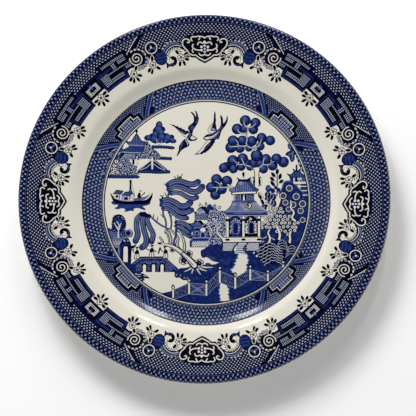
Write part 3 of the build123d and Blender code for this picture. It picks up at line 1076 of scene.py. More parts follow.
def small_pavilion(c):
    """The two-storey pavilion between the willow and the textured bush."""
    c.fill([(-11.4, -32), (-11.4, -27.6), (-9.6, -25.4), (-9.4, -20), (-9, -18), (1.4, -18), (3, -24),
            (2.6, -32)], BLUE)
    c.fill([(-8, -12.6), (-8, -8.2), (1, -8.2), (1.6, -13)], ROYAL)
    for x, y in scatter([(-8, -12.8), (-8, -8.6), (0.8, -8.6), (1.2, -12.8)], 1.5, 4, 0.1):
        c.disc(x, y, 0.42, MIST, sides=6)
        c.disc(x + 0.7, y, 0.3, LINE, sides=6)
    c.blob([(-9.4, -6.2), (-8.4, -6.6), (-7, -7), (-6, -5.4), (-4.4, -3.8), (-3, -3.4), (0, -3.6),
            (2.6, -5), (3, -7), (1.4, -7.6), (-1, -8.6), (-7.6, -8.6), (-8.2, -7.6)], LINE)
    c.blob([(-7, -7.4), (-5.6, -5.8), (-4.2, -4.6), (-2.6, -5.2), (-0.4, -7.4), (-2, -8.2), (-6, -8.3)],
           sloped(-4.6, -8.2, WASH, HAZE))
    c.blob([(-0.8, -4.6), (1.8, -5), (2.4, -6.4), (0.8, -7)], DEEP)
    c.curve([(-5, -3.4), (-4.7, -1.7), (-4, -1.2), (-3.3, -2.4), (-2, -3.2)], 0.9, LINE, (0.6, 0.6))
    c.curve([(-0.8, -3.4), (-0.4, -1.6), (0, -0.2), (0.5, -1.8), (0.8, -3)], 1.1, LINE, (0.5, 0.5))
    c.disc(-4.1, -3.1, 0.5, TINT, sides=8)
    c.disc(0, -3, 0.55, TINT, sides=8)
    c.blob([(-12.4, -15), (-11, -15.2), (-9, -14.9), (-7.8, -13), (-6, -13.2), (-3.4, -13.2), (-1.8, -15.2),
            (0.6, -16.2), (1, -17.6), (-2, -18.4), (-8, -18.2), (-12, -17.6)], LINE)
    c.blob([(-10.8, -16), (-8.6, -15.6), (-7.2, -14.2), (-5.6, -14), (-4, -15.4), (-2.6, -16.6),
            (-2, -17.6), (-6, -17.8), (-10.6, -17)], sloped(-14, -18, SKY, BLUE))
    c.curve([(-2.6, -17.2), (-1.4, -16.4), (-0.6, -15.4)], 0.8, PALE)
    c.line([(-9.6, -18.4), (1.4, -18.4)], 0.5, PALE)
    c.box(-7.6, -20.2, -4.6, -18.8, LINE)
    c.box(-0.2, -20.2, 1.9, -18.8, LINE)
    c.disc(-2.1, -20, 1.9, PAPER, sides=14, squash=0.8)
    for x in (-6.4, 1.9):
        c.hoop(x, -22.4, 1.5, 0.5, PALE, 12)
        c.disc(x, -22.2, 0.75, LINE, sides=10)
        c.disc(x, -24.3, 1.3, DARK, sides=10, squash=0.5)
    c.arch(-2.2, -23, 2.0, 10, -4.2, -0.2, -25.4, PALE)
    c.arch(-2.2, -23, 1.25, 10, -3.45, -0.95, -25.2, NAVY)
    c.line([(-9.6, -25.4), (2.4, -25.4)], 0.7, PALE)
    c.line([(-8.6, -26.7), (2.4, -26.7)], 1.1, DEEP)
    c.box(-11.5, -32, 2, -27.8, ROYAL)
    lattice(c, [(-9.8, -31.8), (1.8, -31.8), (1.8, -28), (-9.8, -28)], 8, 4, 0.72, TINT)
    c.line([(-11.4, -27.6), (-11.4, -32), (1, -32)], 0.4, DARK)


def dotted_bush(c):
    """The pale-flecked bush between the small pavilion and the great pagoda, with its white stem."""
    outline = smooth([(1, -7), (0.6, -4.6), (1.4, -2), (3, -1.6), (4.6, -3), (5.8, -1.6), (7.2, -2.6),
                      (7.4, -5), (9.4, -6.4), (12, -6.6), (13.4, -9), (13.6, -14), (13.6, -22),
                      (12.6, -25.4), (11.4, -29.6), (7, -30.4), (3, -30.6), (1.6, -28), (3.2, -24),
                      (2.6, -20.6), (0.4, -17), (0.8, -12)], True)
    c.fill(outline, ROYAL)
    for x, y in scatter(outline, 1.32, 11, 0.28):
        c.disc(x, y, 0.43, TINT, sides=7)
    for x, y in scatter(outline, 2.7, 12, 0.4):
        c.disc(x, y, 0.5, DARK, sides=7)
    c.hoop(9.2, -16.8, 1.2, 0.5, TINT, 12)
    c.disc(9.2, -16.8, 0.7, LINE, sides=8)
    c.blob([(1, -3.8), (2, -2.2), (3.6, -3), (5, -4.4), (4, -6), (2, -5.6)], DEEP)
    c.blob([(1, -8.6), (2, -7.4), (2.8, -5.8), (1.4, -5.6), (0.2, -7)], DARK)
    c.disc(9.4, -4.2, 1.3, LINE, sides=14)
    c.disc(9.4, -4.2, 0.85, TINT, sides=12)
    c.edged_curve([(8.4, -18.6), (7.8, -20.8), (8.8, -23.2), (10.8, -25), (12, -26.8), (13.2, -28.4)], 1.1,
                  PAPER, 0.4, DARK, (0.6, 1.3))
    c.curve([(5, -12), (5.8, -14), (5.2, -16)], 0.6, CREAM, (1, 0.5))
    c.curve([(6.6, -13), (7.2, -15.8), (6.6, -18)], 0.5, TINT)
    c.curve([(0.8, -13), (2, -17), (3.8, -20.6), (3, -22)], 0.7, TINT, (0.4, 1))


def willow(c):
    """The willow: trailing fronds, forked pale trunk with looping branches, and small bare twigs."""
    for points in (
        [(-21.2, 16.4), (-22.3, 18.4)], [(-19.9, 16.6), (-20.1, 19.4)], [(-18.8, 16.9), (-16.6, 20)],
        [(-27.2, 10.4), (-29.4, 13.2)], [(-27.8, 4.4), (-29.2, 6.8)], [(-30.6, 3.2), (-32.2, 5.2)],
        [(-31, 2.6), (-30, 5)], [(-31.4, 1), (-33.2, 2.6)], [(-21, -12.8), (-21.4, -11.4)],
        [(-29.6, -11), (-32, -8.6)], [(-24.6, -10.4), (-23.4, -8.4)], [(-34.6, -13.6), (-33.9, -10.4)],
        [(-37, -10.6), (-36.8, -8.6)], [(-21, -15.4), (-22.2, -14.6)], [(-21, -17.4), (-22.4, -16.9)],
    ):
        c.line(points, 0.75, DARK, (1, 0.7))
    c.blob([(-21, 17.3), (-19, 17.3), (-17, 16.8), (-17.4, 18.2), (-18.6, 18.4), (-19.6, 17.9)], LINE)
    for points in (
        [(-24.8, -19), (-24.2, -15), (-24.8, -11), (-26.6, -6)],
        [(-28, -17), (-28.4, -13), (-30, -9), (-30.4, -5)],
        [(-39.4, -9.6), (-36.4, -12.6), (-33, -15.4), (-29.6, -17.4), (-25.6, -19.4)],
        [(-26.7, 10), (-26.4, 7), (-26.8, 4)],
    ):
        c.edged_curve(points, 0.6, WASH, 0.35, DARK)
    for points, width in (
        ([(-24.8, 6.2), (-21, 6.9), (-17, 5.8), (-13, 3.4), (-9.4, 2.4), (-6.6, 3.2)], 3.5),
        ([(-26.2, 9.2), (-22.6, 11), (-18.4, 10.9), (-14, 9.1), (-9.4, 7.2), (-5.4, 7.8), (-2.6, 10.8)],
         4.3),
        ([(-26.6, 12.6), (-22.8, 14.5), (-17.8, 14.7), (-12.6, 12.9), (-8.4, 12.6), (-5.6, 14.2)], 4.2),
        ([(-30.2, -4.4), (-26, -5), (-22.6, -7.8), (-18.6, -10.6), (-13.6, -11.4)], 3.4),
        ([(-31.2, -1.8), (-27.4, -1.6), (-23, -3.8), (-18.6, -6.9), (-14.4, -7.4), (-10.4, -5.8)], 4.0),
        ([(-31, 1), (-27, 1.7), (-22.4, 0), (-18.2, -2.7), (-14, -2.8), (-11, -0.4)], 4.4),
        ([(-20.6, -19.6), (-16.6, -21.4), (-11, -24.6)], 3.0),
        ([(-21, -17), (-16.6, -18.6), (-11.6, -22)], 3.1),
        ([(-20.8, -14.4), (-16.6, -14.9), (-12.6, -17.2), (-10.2, -19.6)], 3.4),
        ([(-46, -9), (-48.6, -12), (-48.8, -18), (-48, -23), (-49.6, -27.4)], 4.2),
        ([(-40.6, -9.8), (-41.4, -13), (-39.4, -18), (-37.2, -23), (-38.2, -28)], 3.7),
        ([(-43.6, -8.4), (-44.6, -13), (-43.8, -19), (-42, -25.4), (-42.4, -29.6), (-45, -32)], 4.2),
    ):
        frond(c, points, width)
    c.blob([(-46.8, -7), (-44, -6.9), (-41.4, -8), (-38.6, -9.2), (-40.4, -11), (-43.6, -10.4),
            (-46.4, -9.6)], DARK)
    for points in (
        [(-19.6, -19.6), (-17.6, -22.4), (-15.9, -26.6), (-15, -31), (-15.4, -36)],
        [(-25.4, -19.4), (-22.4, -22), (-19.6, -25.4), (-20.2, -31), (-17.4, -35)],
        [(-27.8, -19.8), (-28.4, -21.6), (-26.6, -23.4), (-25, -28.6), (-22.2, -31.6), (-20, -33)],
        [(-32.4, -25), (-30.8, -27.4), (-29.6, -29.8), (-26.6, -30.4), (-24.6, -27.4), (-25.9, -22.4),
         (-28, -20.6)],
    ):
        c.edged_curve(points, 1.1, CREAM, 0.62, LINE, (0.7, 1.1))
        c.curve([(x + 0.25, y) for x, y in points], 0.4, WASH, (0.6, 1))
    c.edged_curve([(-21, -20.6), (-21.2, -24), (-22.4, -28), (-21.8, -31.6)], 0.8, BLUE, 0.4, LINE)
    c.edged_curve([(-33.4, -29), (-30.4, -29.6), (-26, -30.8), (-21.6, -32.6), (-16.6, -36.4), (-11.6, -41),
                   (-8, -45)], 2.2, PAPER, 0.75, LINE, (0.35, 1.5))
    c.blob([(-34.2, -29.2), (-32.6, -28.5), (-31.4, -28.8), (-31.6, -29.8), (-33.4, -29.9)], LINE)
    for x, y, size in ((-12.2, -36.8, 1.9), (-15.6, -41.4, 2.2), (-4.8, -43.4, 2.1), (-23.6, -34, 1.3)):
        for turn in range(0, 360, 60):
            a = math.radians(turn + 20)
            c.disc(x + size * math.cos(a), y + size * 0.85 * math.sin(a), 0.68 * size, LINE, sides=12)
            c.disc(x + size * math.cos(a), y + size * 0.85 * math.sin(a), 0.42 * size, CREAM, sides=10)
        c.disc(x, y, 0.98 * size, LINE, sides=14, squash=0.85, turn=-40)
        c.disc(x + 0.2, y + 0.2, 0.35 * size, COBALT, sides=8)
    c.edged_curve([(-16, -36.9), (-11.6, -41), (-8, -45)], 2.1, PAPER, 0.7, LINE, (0.9, 1.5))
    c.curve([(-28, -30.6), (-22, -33), (-17, -36.8), (-12, -41.4), (-9, -44.8)], 0.5, BLUE, (0.4, 1.2))


def roots(c):
    """The willow's pale roots spreading over the bank."""
    for points in (
        [(-9.4, -44), (-10.6, -47), (-14.8, -49.2)], [(-8.4, -45), (-9.2, -48), (-10, -50.6)],
        [(-6.8, -45), (-5.6, -48.6), (-4, -51)], [(-6, -44.8), (-3.4, -47.6), (0.4, -48.8)],
        [(-5, -44.8), (-1.2, -46.3), (4.6, -46.4)],
    ):
        c.curve(points, 1.9, DARK, (1.3, 0.6))
        c.curve(points, 1.1, TINT, (1.4, 0.5))


def boat(c):
    """The covered boat with its mast, one figure at the pole, and its dark reflection."""
    c.blob([(-66.2, 1), (-66.6, -0.6), (-64.6, -1.6), (-62.4, -1.6), (-62.6, -2.8), (-64.6, -4),
            (-62.4, -4.8), (-59.6, -4.1), (-57.4, -4.6), (-56.8, -5.6), (-58.2, -6.4), (-55.4, -6.5),
            (-53.4, -5.9), (-50.8, -6.1), (-50.9, -4.6), (-48.6, -4), (-46.6, -4.4), (-43.2, -5.6),
            (-42.8, -4.6), (-44.6, -2.8), (-42.4, -2.4), (-39.6, -1.2), (-39.4, 0.4), (-44, 1.4),
            (-60, 1.6)], ROYAL)
    for points in (
        [(-60, -1.2), (-56, -0.6), (-50, -0.8)], [(-63, -3.9), (-58, -3.4), (-54, -3.7)],
        [(-50, -2.4), (-45, -2)],
    ):
        c.curve(points, 0.6, BLUE, (0.3, 0.3))
    c.fill([(-55.4, 6), (-54.2, 9), (-53.9, 15.6), (-52.9, 15.6), (-52.6, 9), (-51.2, 6)], DARK)
    c.fill([(-54, 6.6), (-53.4, 9.6), (-52.8, 6.6)], SKY)
    c.disc(-53.3, 15.2, 0.95, LINE, sides=10)
    c.line([(-53.2, 16.2), (-50.2, 4.2)], 0.3, LINE)
    c.box(-65.4, 1, -51, 6, CREAM)
    for x0, x1 in ((-61.6, -60.7), (-59.6, -58.7), (-54.4, -53.6)):
        c.box(x0, 1.2, x1, 5.6, SKY)
    c.disc(-62.9, 4.4, 1.05, LINE, sides=12)
    c.box(-58.3, 1.5, -54.9, 4.4, SKY)
    c.disc(-56.4, 2.8, 1.25, LINE, sides=12, squash=0.7)
    c.edged([(-65.6, 6.2), (-63.2, 9), (-58.3, 8.2), (-59.8, 5.9)], ROYAL, 0.5)
    for k in range(4):
        c.line([(-64.3 + 1.5 * k, 6.5), (-62.6 + 1.3 * k, 8.4)], 0.3, WASH)
    c.edged([(-59.2, 5.1), (-57.2, 7.6), (-52.2, 7.4), (-51, 6), (-53.4, 4.6)], ROYAL, 0.5)
    for k in range(4):
        c.line([(-58 + 1.4 * k, 5.2), (-56.8 + 1.3 * k, 7.1)], 0.3, WASH)
    c.edged([(-53.6, 4.8), (-52, 6.2), (-50.6, 4.8), (-50.8, 3), (-53.4, 3)], TINT, 0.35)
    c.blob([(-67.7, 7.1), (-66.4, 5.6), (-64, 3.1), (-60.8, 1.7), (-57, 1.1), (-50, 1.2), (-46, 1.4),
            (-42, 2), (-40, 3.6), (-38.6, 5.4), (-37.8, 7.2), (-37.7, 4.6), (-38.6, 1.8), (-40.2, -0.4),
            (-45, -1.3), (-52, -1.4), (-60, -1), (-64.6, 0.2), (-66.4, 3.0)], LINE)
    c.curve([(-65, 3.3), (-61, 1.9), (-56, 1.1), (-51, 1.2)], 0.5, HAZE)
    c.blob([(-51.2, 1.4), (-50.6, 2.8), (-46, 2.8), (-42.6, 3.6), (-40.4, 4.8), (-42, 2.8), (-45, 1.6)],
           WASH)
    c.curve([(-49.6, 2.9), (-46, 3.1), (-42.4, 4), (-39.6, 5.8)], 0.45, LINE)
    c.blob([(-48.4, 3.5), (-48.2, 5.6), (-47.2, 7.2), (-46.2, 6.4), (-46, 4.4), (-45.2, 3.6), (-46.8, 3.2)],
           LINE)
    c.disc(-46.2, 8, 0.8, LINE, sides=10)
    c.disc(-46.1, 7.9, 0.42, TINT, sides=8)
    c.line([(-45.6, 4.6), (-43.2, 6.9)], 0.7, LINE, (0.8, 1.2))


def cloud_strip(c, points, width):
    """A bank or drifting strip: a row of dark beads with lighter middles."""
    p = smooth(points, step=1.5)
    run = np.concatenate([[0], np.cumsum(np.hypot(*np.diff(p, axis=0).T))])
    c.line(p, 0.8 * width, DARK, (0.8, 0.8))
    spots = [(np.interp(s, run, p[:, 0]),
              np.interp(s, run, p[:, 1])) for s in np.arange(0, run[-1] + 0.1, 1.9)]
    for x, y in spots:
        c.disc(x, y, 0.5 * width, DARK, sides=10)
    for x, y in spots:
        c.disc(x, y + 0.1 * width, 0.3 * width, ROYAL, sides=10)


def cloud_tree(c):
    """The cloud-shaped tree and drifting banks over the far island."""
    cloud_strip(c, [(-37.4, 39.6), (-30, 39.4), (-22.8, 38.7)], 2.7)
    cloud_strip(c, [(-36.6, 31.6), (-31, 31.4), (-24.8, 31)], 2.7)
    tree = smooth([(-44, 46), (-42.4, 48), (-40, 48.2), (-39.3, 49.3), (-37.9, 49.5), (-37.8, 51.6),
                   (-36.6, 53.4), (-35.7, 54.6), (-35.4, 56.4), (-34, 57.9), (-32.2, 57.9), (-31, 56.4),
                   (-30.8, 54.4), (-29.2, 53.4), (-28.8, 51.4), (-29.8, 49.8), (-28, 49.3), (-26.6, 49.1),
                   (-25.8, 48), (-24, 48.4), (-22.5, 47), (-22.4, 45.2), (-21, 44.2), (-21.2, 42.6),
                   (-23.6, 41.9), (-25.6, 42.5), (-27.6, 41.8), (-29.4, 42.5), (-31.6, 42.1), (-33.6, 42.5),
                   (-36, 41.9), (-38.4, 42.8), (-39.6, 43.9), (-42.4, 44.2)], True)
    c.fill(tree, NAVY)
    for x, y, r in (
        (-33, 55.6, 1.8), (-33.4, 52, 2.6), (-31.6, 50, 1.8), (-36, 48.6, 1.8), (-40.6, 46.2, 1.6),
        (-36.6, 45.4, 2.1), (-31.4, 46.6, 2.6), (-26.8, 46, 2.3), (-23.6, 44.4, 1.6), (-28.4, 43.8, 1.4),
        (-33.6, 44.2, 1.4),
    ):
        c.disc(x, y, r, ROYAL, sides=16)
        c.disc(x - 0.1, y + 0.25 * r, 0.6 * r, BLUE, sides=12)
    c.curve([(-33.4, 40.8), (-34.6, 43), (-35.2, 45.6)], 0.7, HAZE, (1, 0.6))
    c.curve([(-33, 40.8), (-31.8, 42.6), (-31.2, 44.2)], 0.6, HAZE, (1, 0.5))


def island_bushes(c):
    """The island's bushes, blossoms and the stacked eaves at its left edge."""
    stipple(c, smooth([(-66.6, 37.4), (-62, 38.6), (-58, 36), (-48, 36), (-46.6, 43), (-42, 43.6),
                       (-40, 42), (-38.4, 39.6), (-36, 37.6), (-33, 34.6), (-32, 32), (-37, 30.6),
                       (-42, 31), (-47, 30), (-49, 22), (-48, 19.6), (-71.6, 19.6), (-70.6, 25),
                       (-68.6, 31)], True), 1.35, 3, TINT, 0.34, DEEP)
    for x, y, r in (
        (-65.8, 32, 1.4), (-67.2, 29.2, 1.5), (-63.4, 29.4, 1.4), (-65, 26.4, 1.2), (-67.6, 24.6, 1.4),
        (-64.6, 23.6, 1.4), (-70, 21.4, 1.3), (-66, 21.4, 1.2), (-62.6, 21.6, 1.1), (-60.4, 27, 1.0),
    ):
        blossom(c, x, y, 0.95 * r)
    for k in range(4):
        c.edged([(-67.4 + 0.3 * k, 37 - 0.9 * k), (-59.4, 41.9 - 2.6 * k), (-58.2, 40.3 - 2.6 * k),
                 (-65.6, 34.6 - 0.9 * k)], (0.3, 0.66, 0.3, 0.66)[k], 0.35)
    c.fill([(-51.4, 33.8), (-49, 32.6), (-48.6, 26), (-52.4, 27), (-54.4, 30.6)], CREAM)
    c.fill([(-52.2, 32.6), (-50.6, 32.6), (-50.6, 26.8), (-52.2, 27.4)], LINE)
    c.fill([(-49.2, 29.6), (-46, 31.2), (-47.8, 27.4)], CREAM)


def island_pagoda(c):
    """The pagoda on the far island."""
    c.box(-61, 30.8, -49.4, 35.4, NAVY)
    hatch(c, [(-61, 31), (-50, 31), (-50, 35.2), (-57, 35.2)], 11, 0.4, HAZE)
    roof(c, [(-59.8, 35.6), (-57.4, 38.4), (-54.6, 39.6), (-54, 41), (-44.4, 40.4), (-44, 38),
             (-45.6, 35.2), (-52, 35)], COBALT, DARK, 12)
    c.line([(-59.4, 36.2), (-52, 35.6), (-46, 35.4)], 0.6, HAZE)
    roof(c, [(-57.6, 44.9), (-56.2, 44), (-54, 43.2), (-52.4, 44.4), (-51.2, 46.8), (-49.6, 48.7),
             (-48.4, 48.4), (-47, 46), (-45.6, 43.9), (-43.6, 43), (-42.2, 43), (-44, 41), (-49, 40.6),
             (-54.6, 41.2)], DEEP, SKY, 12)
    c.line([(-54.6, 41.1), (-44.4, 40.5)], 0.7, PALE)
    c.disc(-49.2, 51, 1.0, DARK, sides=10, squash=1.3)
    c.line([(-49.2, 48.4), (-49.2, 53)], 0.8, DARK, (1.3, 0.5))


def island_hills(c):
    """The island's peaked hill and its long bank."""
    hill = [(-47.6, 23.4), (-44, 25.6), (-41, 28.4), (-38, 31.2), (-34.6, 29.4), (-31.6, 27), (-28.6, 24.6),
            (-26, 21.8), (-36, 20.8), (-47, 21.4)]
    c.fill(hill, NAVY)
    for shift in (0, -2.6):
        c.line([(-47, 24.3 + shift * 0.5), (-42.4, 27.2 + shift), (-38.4, 30.4 + shift)], 0.5, MIST)
        c.line([(-37.4, 30.2 + shift), (-33, 27 + shift), (-29 - shift * 0.5, 23.6 + shift * 0.5)], 0.5,
               MIST)
    c.line([(-38, 31.4), (-38, 28.2)], 1.3, CREAM)
    c.line([(-38, 27.6), (-38, 24)], 1.2, CREAM)
    cloud_strip(c, [(-47.2, 22), (-40, 21.8), (-33, 21.4), (-26.4, 21.6)], 2.7)
    stipple(c, [(-72, 19.6), (-48.6, 19.8), (-48, 18.8), (-72, 18.4)], 1.1, 5, PALE, 0.34, DEEP)
    cloud_strip(c, [(-71.6, 18.6), (-60, 18.3), (-47.6, 18.2)], 2.6)


def gatehouse(c):
    """The bushes, roof and arched gate at the left edge, and the bank under them."""
    mound = smooth([(-66, -11), (-64.6, -9), (-62.4, -8.6), (-60.2, -9.4), (-59.4, -11), (-58, -12.6),
                    (-56.4, -14), (-56.6, -17), (-57.4, -19), (-55, -19.6), (-53.6, -18.8), (-52, -20),
                    (-51.2, -22), (-52.4, -24.4), (-57, -25), (-63, -25), (-70.6, -25), (-71, -21),
                    (-70.4, -18.6), (-68, -18), (-66.6, -18.4), (-65.8, -15)], True)
    stipple(c, mound, 1.5, 21, PALE, 0.28, DEEP)
    for k in range(16):
        a = math.radians(210 - 15.5 * k)
        x, y = -61.4 + 4.6 * math.cos(a), -15.4 + 6.4 * math.sin(a)
        c.disc(x, y, 0.8, DARK, sides=8)
    c.disc(-61.2, -15.6, 4.2, NAVY, sides=20, squash=1.25)
    c.disc(-61.6, -13.6, 2.2, ROYAL, sides=14)
    for points in (
        [(-61.6, -24.8), (-61.8, -21), (-61, -18), (-59.8, -14.6)],
        [(-61.6, -19.4), (-63.4, -16.8), (-64.8, -14.4)], [(-61, -18), (-61.6, -15.4), (-63, -13.4)],
    ):
        c.curve(points, 0.9, TINT, (1.3, 0.5))
    c.disc(-54.4, -21.6, 2.6, PALE, sides=16)
    c.disc(-54.8, -21.8, 1.8, NAVY, sides=14)
    c.blob([(-70.6, -22), (-67.6, -20.8), (-64, -21.6), (-62.6, -24.6), (-70, -24.8)], WASH)

    c.fill([(-70, -25.2), (-54.6, -25.2), (-53, -28.6), (-52.4, -31), (-49.6, -30), (-50.4, -32),
            (-52.4, -33), (-52.6, -44), (-60.6, -43), (-66, -33), (-69.6, -27)], DARK)
    c.fill([(-69.8, -25.6), (-57.4, -25.6), (-58.6, -26.6), (-69.4, -26.6)], SKY)
    c.fill([(-68.6, -26.9), (-58.8, -26.9), (-60.4, -30.4), (-66.6, -30.4)], NAVY)
    hatch(c, [(-68.4, -27), (-59, -27), (-61, -30.2), (-68, -30.2)], 9, 0.5, MIST)
    c.fill([(-66.8, -30.8), (-61, -30.8), (-61, -31.8), (-66.4, -31.8)], PALE)
    c.box(-65.4, -38, -64.6, -31.8, PALE)
    c.box(-62, -41, -60.6, -31.8, SKY)
    c.box(-60.6, -42.6, -59.4, -31.8, DEEP)
    c.curve([(-60.4, -32.4), (-58.6, -30.2), (-56.4, -29.2), (-54.4, -30)], 1.5, DEEP)
    c.disc(-57.4, -27.2, 0.8, HAZE, sides=10)
    c.disc(-55, -27.2, 0.7, PALE, sides=10)
    c.arch(-56.5, -32.6, 1.5, 10, -58.2, -55, -42.4, PAPER)
    c.curve([(-52.8, -31.4), (-51, -31.8), (-49.4, -30.2)], 1.4, LINE, (1.2, 0.6))
    c.fill([(-60.6, -42), (-55, -42.2), (-52.4, -43.6), (-46, -38.6), (-44, -42), (-45.6, -50),
            (-47, -50.6), (-49, -50.2), (-51.4, -51.6), (-57.6, -45.2)], DEEP)


def walker(c, x, y, lean):
    """One tiny figure: a pale robe with a dark outline, a dark coat, a head and a flat hat."""
    robe = [(x - 1, y - 0.6), (x - 1.7, y - 4.9), (x - 0.1, y - 4.3), (x + 1.4, y - 5), (x + 1.5, y - 1.4),
            (x + 0.9, y)]
    c.edged(smooth(robe, True), CREAM, 0.55)
    c.line([(x + 0.1, y - 1), (x - 0.2, y - 4)], 0.35, NAVY)
    coat = [(x - 1.3, y - 1.2), (x - 1, y + 1), (x + lean, y + 2.1), (x + 1.4, y + 0.8), (x + 1.3, y - 1)]
    c.blob(coat, LINE)
    c.disc(x + lean, y + 2.9, 0.8, LINE, sides=10)
    c.disc(x + lean + 0.15, y + 2.7, 0.32, MIST, sides=8)
    c.line([(x + lean - 1.1, y + 3.5), (x + lean + 1, y + 3.7)], 0.7, NAVY)


def bridge(c):
    """The three-arched bridge with three small walkers on it."""
    c.fill([(-51.6, -43.2), (-46, -38.7), (-29.4, -38.7), (-19.4, -47.6), (-21.6, -49.6), (-45.6, -49.4),
            (-51, -49.6)], DEEP)
    stipple(c, [(-49.6, -44.4), (-45.4, -41.6), (-30, -41.4), (-22.4, -47.6), (-22.4, -49), (-49, -49)],
            1.25, 31, PALE, 0.32, None)
    c.line([(-50.6, -43.6), (-45.6, -39.8), (-29.8, -39.8), (-21, -47.8)], 0.4, SKY)
    c.line([(-51.6, -43.2), (-46, -38.7), (-29.4, -38.7), (-19.6, -47.4)], 0.6, LINE)
    for x in (-43.2, -36.8, -30.8):
        c.arch(x, -45, 2.15, 12, x - 2.15, x + 2.15, -49.4, LINE)
        c.arch(x, -45.1, 1.05, 12, x - 1.05, x + 1.05, -50.2, PAPER)
    for k in range(3):
        c.line([(-22.2 - 0.5 * k, -45.8 - 0.8 * k), (-27.6, -41 - 1.1 * k)], 0.35, WASH)
    for x, y, lean in ((-48.6, -35.4, 0.2), (-38.2, -34.2, 0.4), (-28.4, -35.2, -0.5)):
        walker(c, x, y, lean)
    c.line([(-49, -35.6), (-51, -35.4), (-51.2, -32.6)], 0.6, DARK)
    c.disc(-51.6, -33.6, 1.0, COBALT, sides=10, squash=0.6, turn=40)
    for points in (
        [(-39, -34), (-41.4, -33.4), (-42.6, -31.8)], [(-37.2, -33.6), (-35, -35.2)],
        [(-28.8, -35.4), (-31.2, -34.6), (-32.2, -32)],
    ):
        c.line(points, 0.7, DARK)
    c.line([(-32.2, -32.2), (-33.4, -36.2)], 1.0, LINE)


def shore_rocks(c):
    """The low rocks under the gatehouse, at the lower left."""
    c.blob([(-56.6, -47), (-52, -50.4), (-49, -50.6), (-46, -50), (-43.4, -50.8), (-40.2, -53),
            (-39.6, -53.9), (-43.6, -53.8), (-43, -55), (-44.6, -55.7), (-48.4, -55.6), (-52, -52.4)], NAVY)
    for points in (
        [(-50.6, -50.4), (-48, -51.2), (-45.4, -50.8)], [(-48, -52.6), (-46, -52.2)],
        [(-47.6, -54.2), (-45, -54.6)], [(-43.6, -51.8), (-42, -52.6)],
    ):
        c.curve(points, 0.8, TINT, (0.6, 0.4))


def zigzag_edge(points, reach, pitch=2.6):
    """A ragged line between points, as where printed water or shade breaks up."""
    p = smooth(points, step=0.5)
    run = np.concatenate([[0], np.cumsum(np.hypot(*np.diff(p, axis=0).T))])
    out = []
    for k, s in enumerate(np.arange(0, run[-1], pitch / 2)):
        x, y = np.interp(s, run, p[:, 0]), np.interp(s, run, p[:, 1])
        out.append((x + (reach if k % 2 else -reach) * (0.7 + 0.3 * math.sin(2.1 * k)), y))
    return out


def ground(c):
    """The wide cobalt ground at the lower right, with its two white channels."""
    rim_arc = arc(0, 0, 71.9, 247.5, 371, 80)
    bank = [(66.5, 13), (66, 0), (60, -10), (44, -20), (38.4, -29), (11.4, -29.6), (3, -30.2), (1, -31),
            (-0.8, -33), (-3.6, -34.4), (-3.8, -36.6), (-3, -38.6), (0.6, -39), (3, -40.6), (6, -42),
            (9.6, -42.8), (6.4, -44.2), (2, -44.6), (-2, -44.4), (-5, -46.2), (-9, -44.8), (-13.6, -46.6),
            (-18, -46.8), (-19.6, -48), (-22, -49.4), (-22.2, -52.4), (-20.6, -53.8), (-18.4, -53.2),
            (-17, -54.9), (-13.6, -55.2), (-12, -57), (-23, -62.8)]
    c.fill(np.vstack([rim_arc, bank]), DEEP)
    random = np.random.default_rng(5)
    for x, y in scatter([(-20, -52), (0, -36), (14, -36), (21, -36), (18, -52), (6, -60), (-10, -56)], 6.0,
                        9, 0.4):
        c.disc(x, y, random.uniform(1.4, 2.6), ROYAL, sides=14, squash=0.45, turn=random.uniform(-30, 30))
    for x, y in ((-20.6, -51.8), (-17.9, -52.2), (-15.2, -53.9), (-12.9, -54.2)):
        c.disc(x, y, 1.5, LINE, sides=12)
        c.disc(x, y + 0.3, 0.8, SKY, sides=10)
    c.curve([(-3.2, -38.4), (1, -39.2), (5, -41.8), (9.4, -42.8)], 0.5, LINE)
    c.curve([(1, -37.8), (3.6, -39.4), (6, -40.8)], 0.9, BLUE, (0.5, 0.5))
    for points in ([(-3.4, -34.6), (-3.2, -38)], [(-19.6, -48), (-13.6, -46.8), (-9.6, -45.2)]):
        c.curve(points, 0.6, LINE)
    left = zigzag_edge([(21.8, -36.4), (22.6, -38), (21.6, -41.6), (20.4, -44), (19.6, -46.6),
                        (17.8, -48.4), (20.2, -51.2)], 0.9)
    right = zigzag_edge([(25.6, -51.6), (28.6, -47.6), (28.2, -44.8), (29.4, -42.4), (29, -39.4),
                         (29, -36.6)], 0.7)
    wash = [(x - 0.9, y) for x, y in left] + [(x + 0.8, y) for x, y in right]
    c.fill(wash, WASH)
    c.fill(left + [(20.6, -53.6), (24, -52.6)] + right, PAPER)


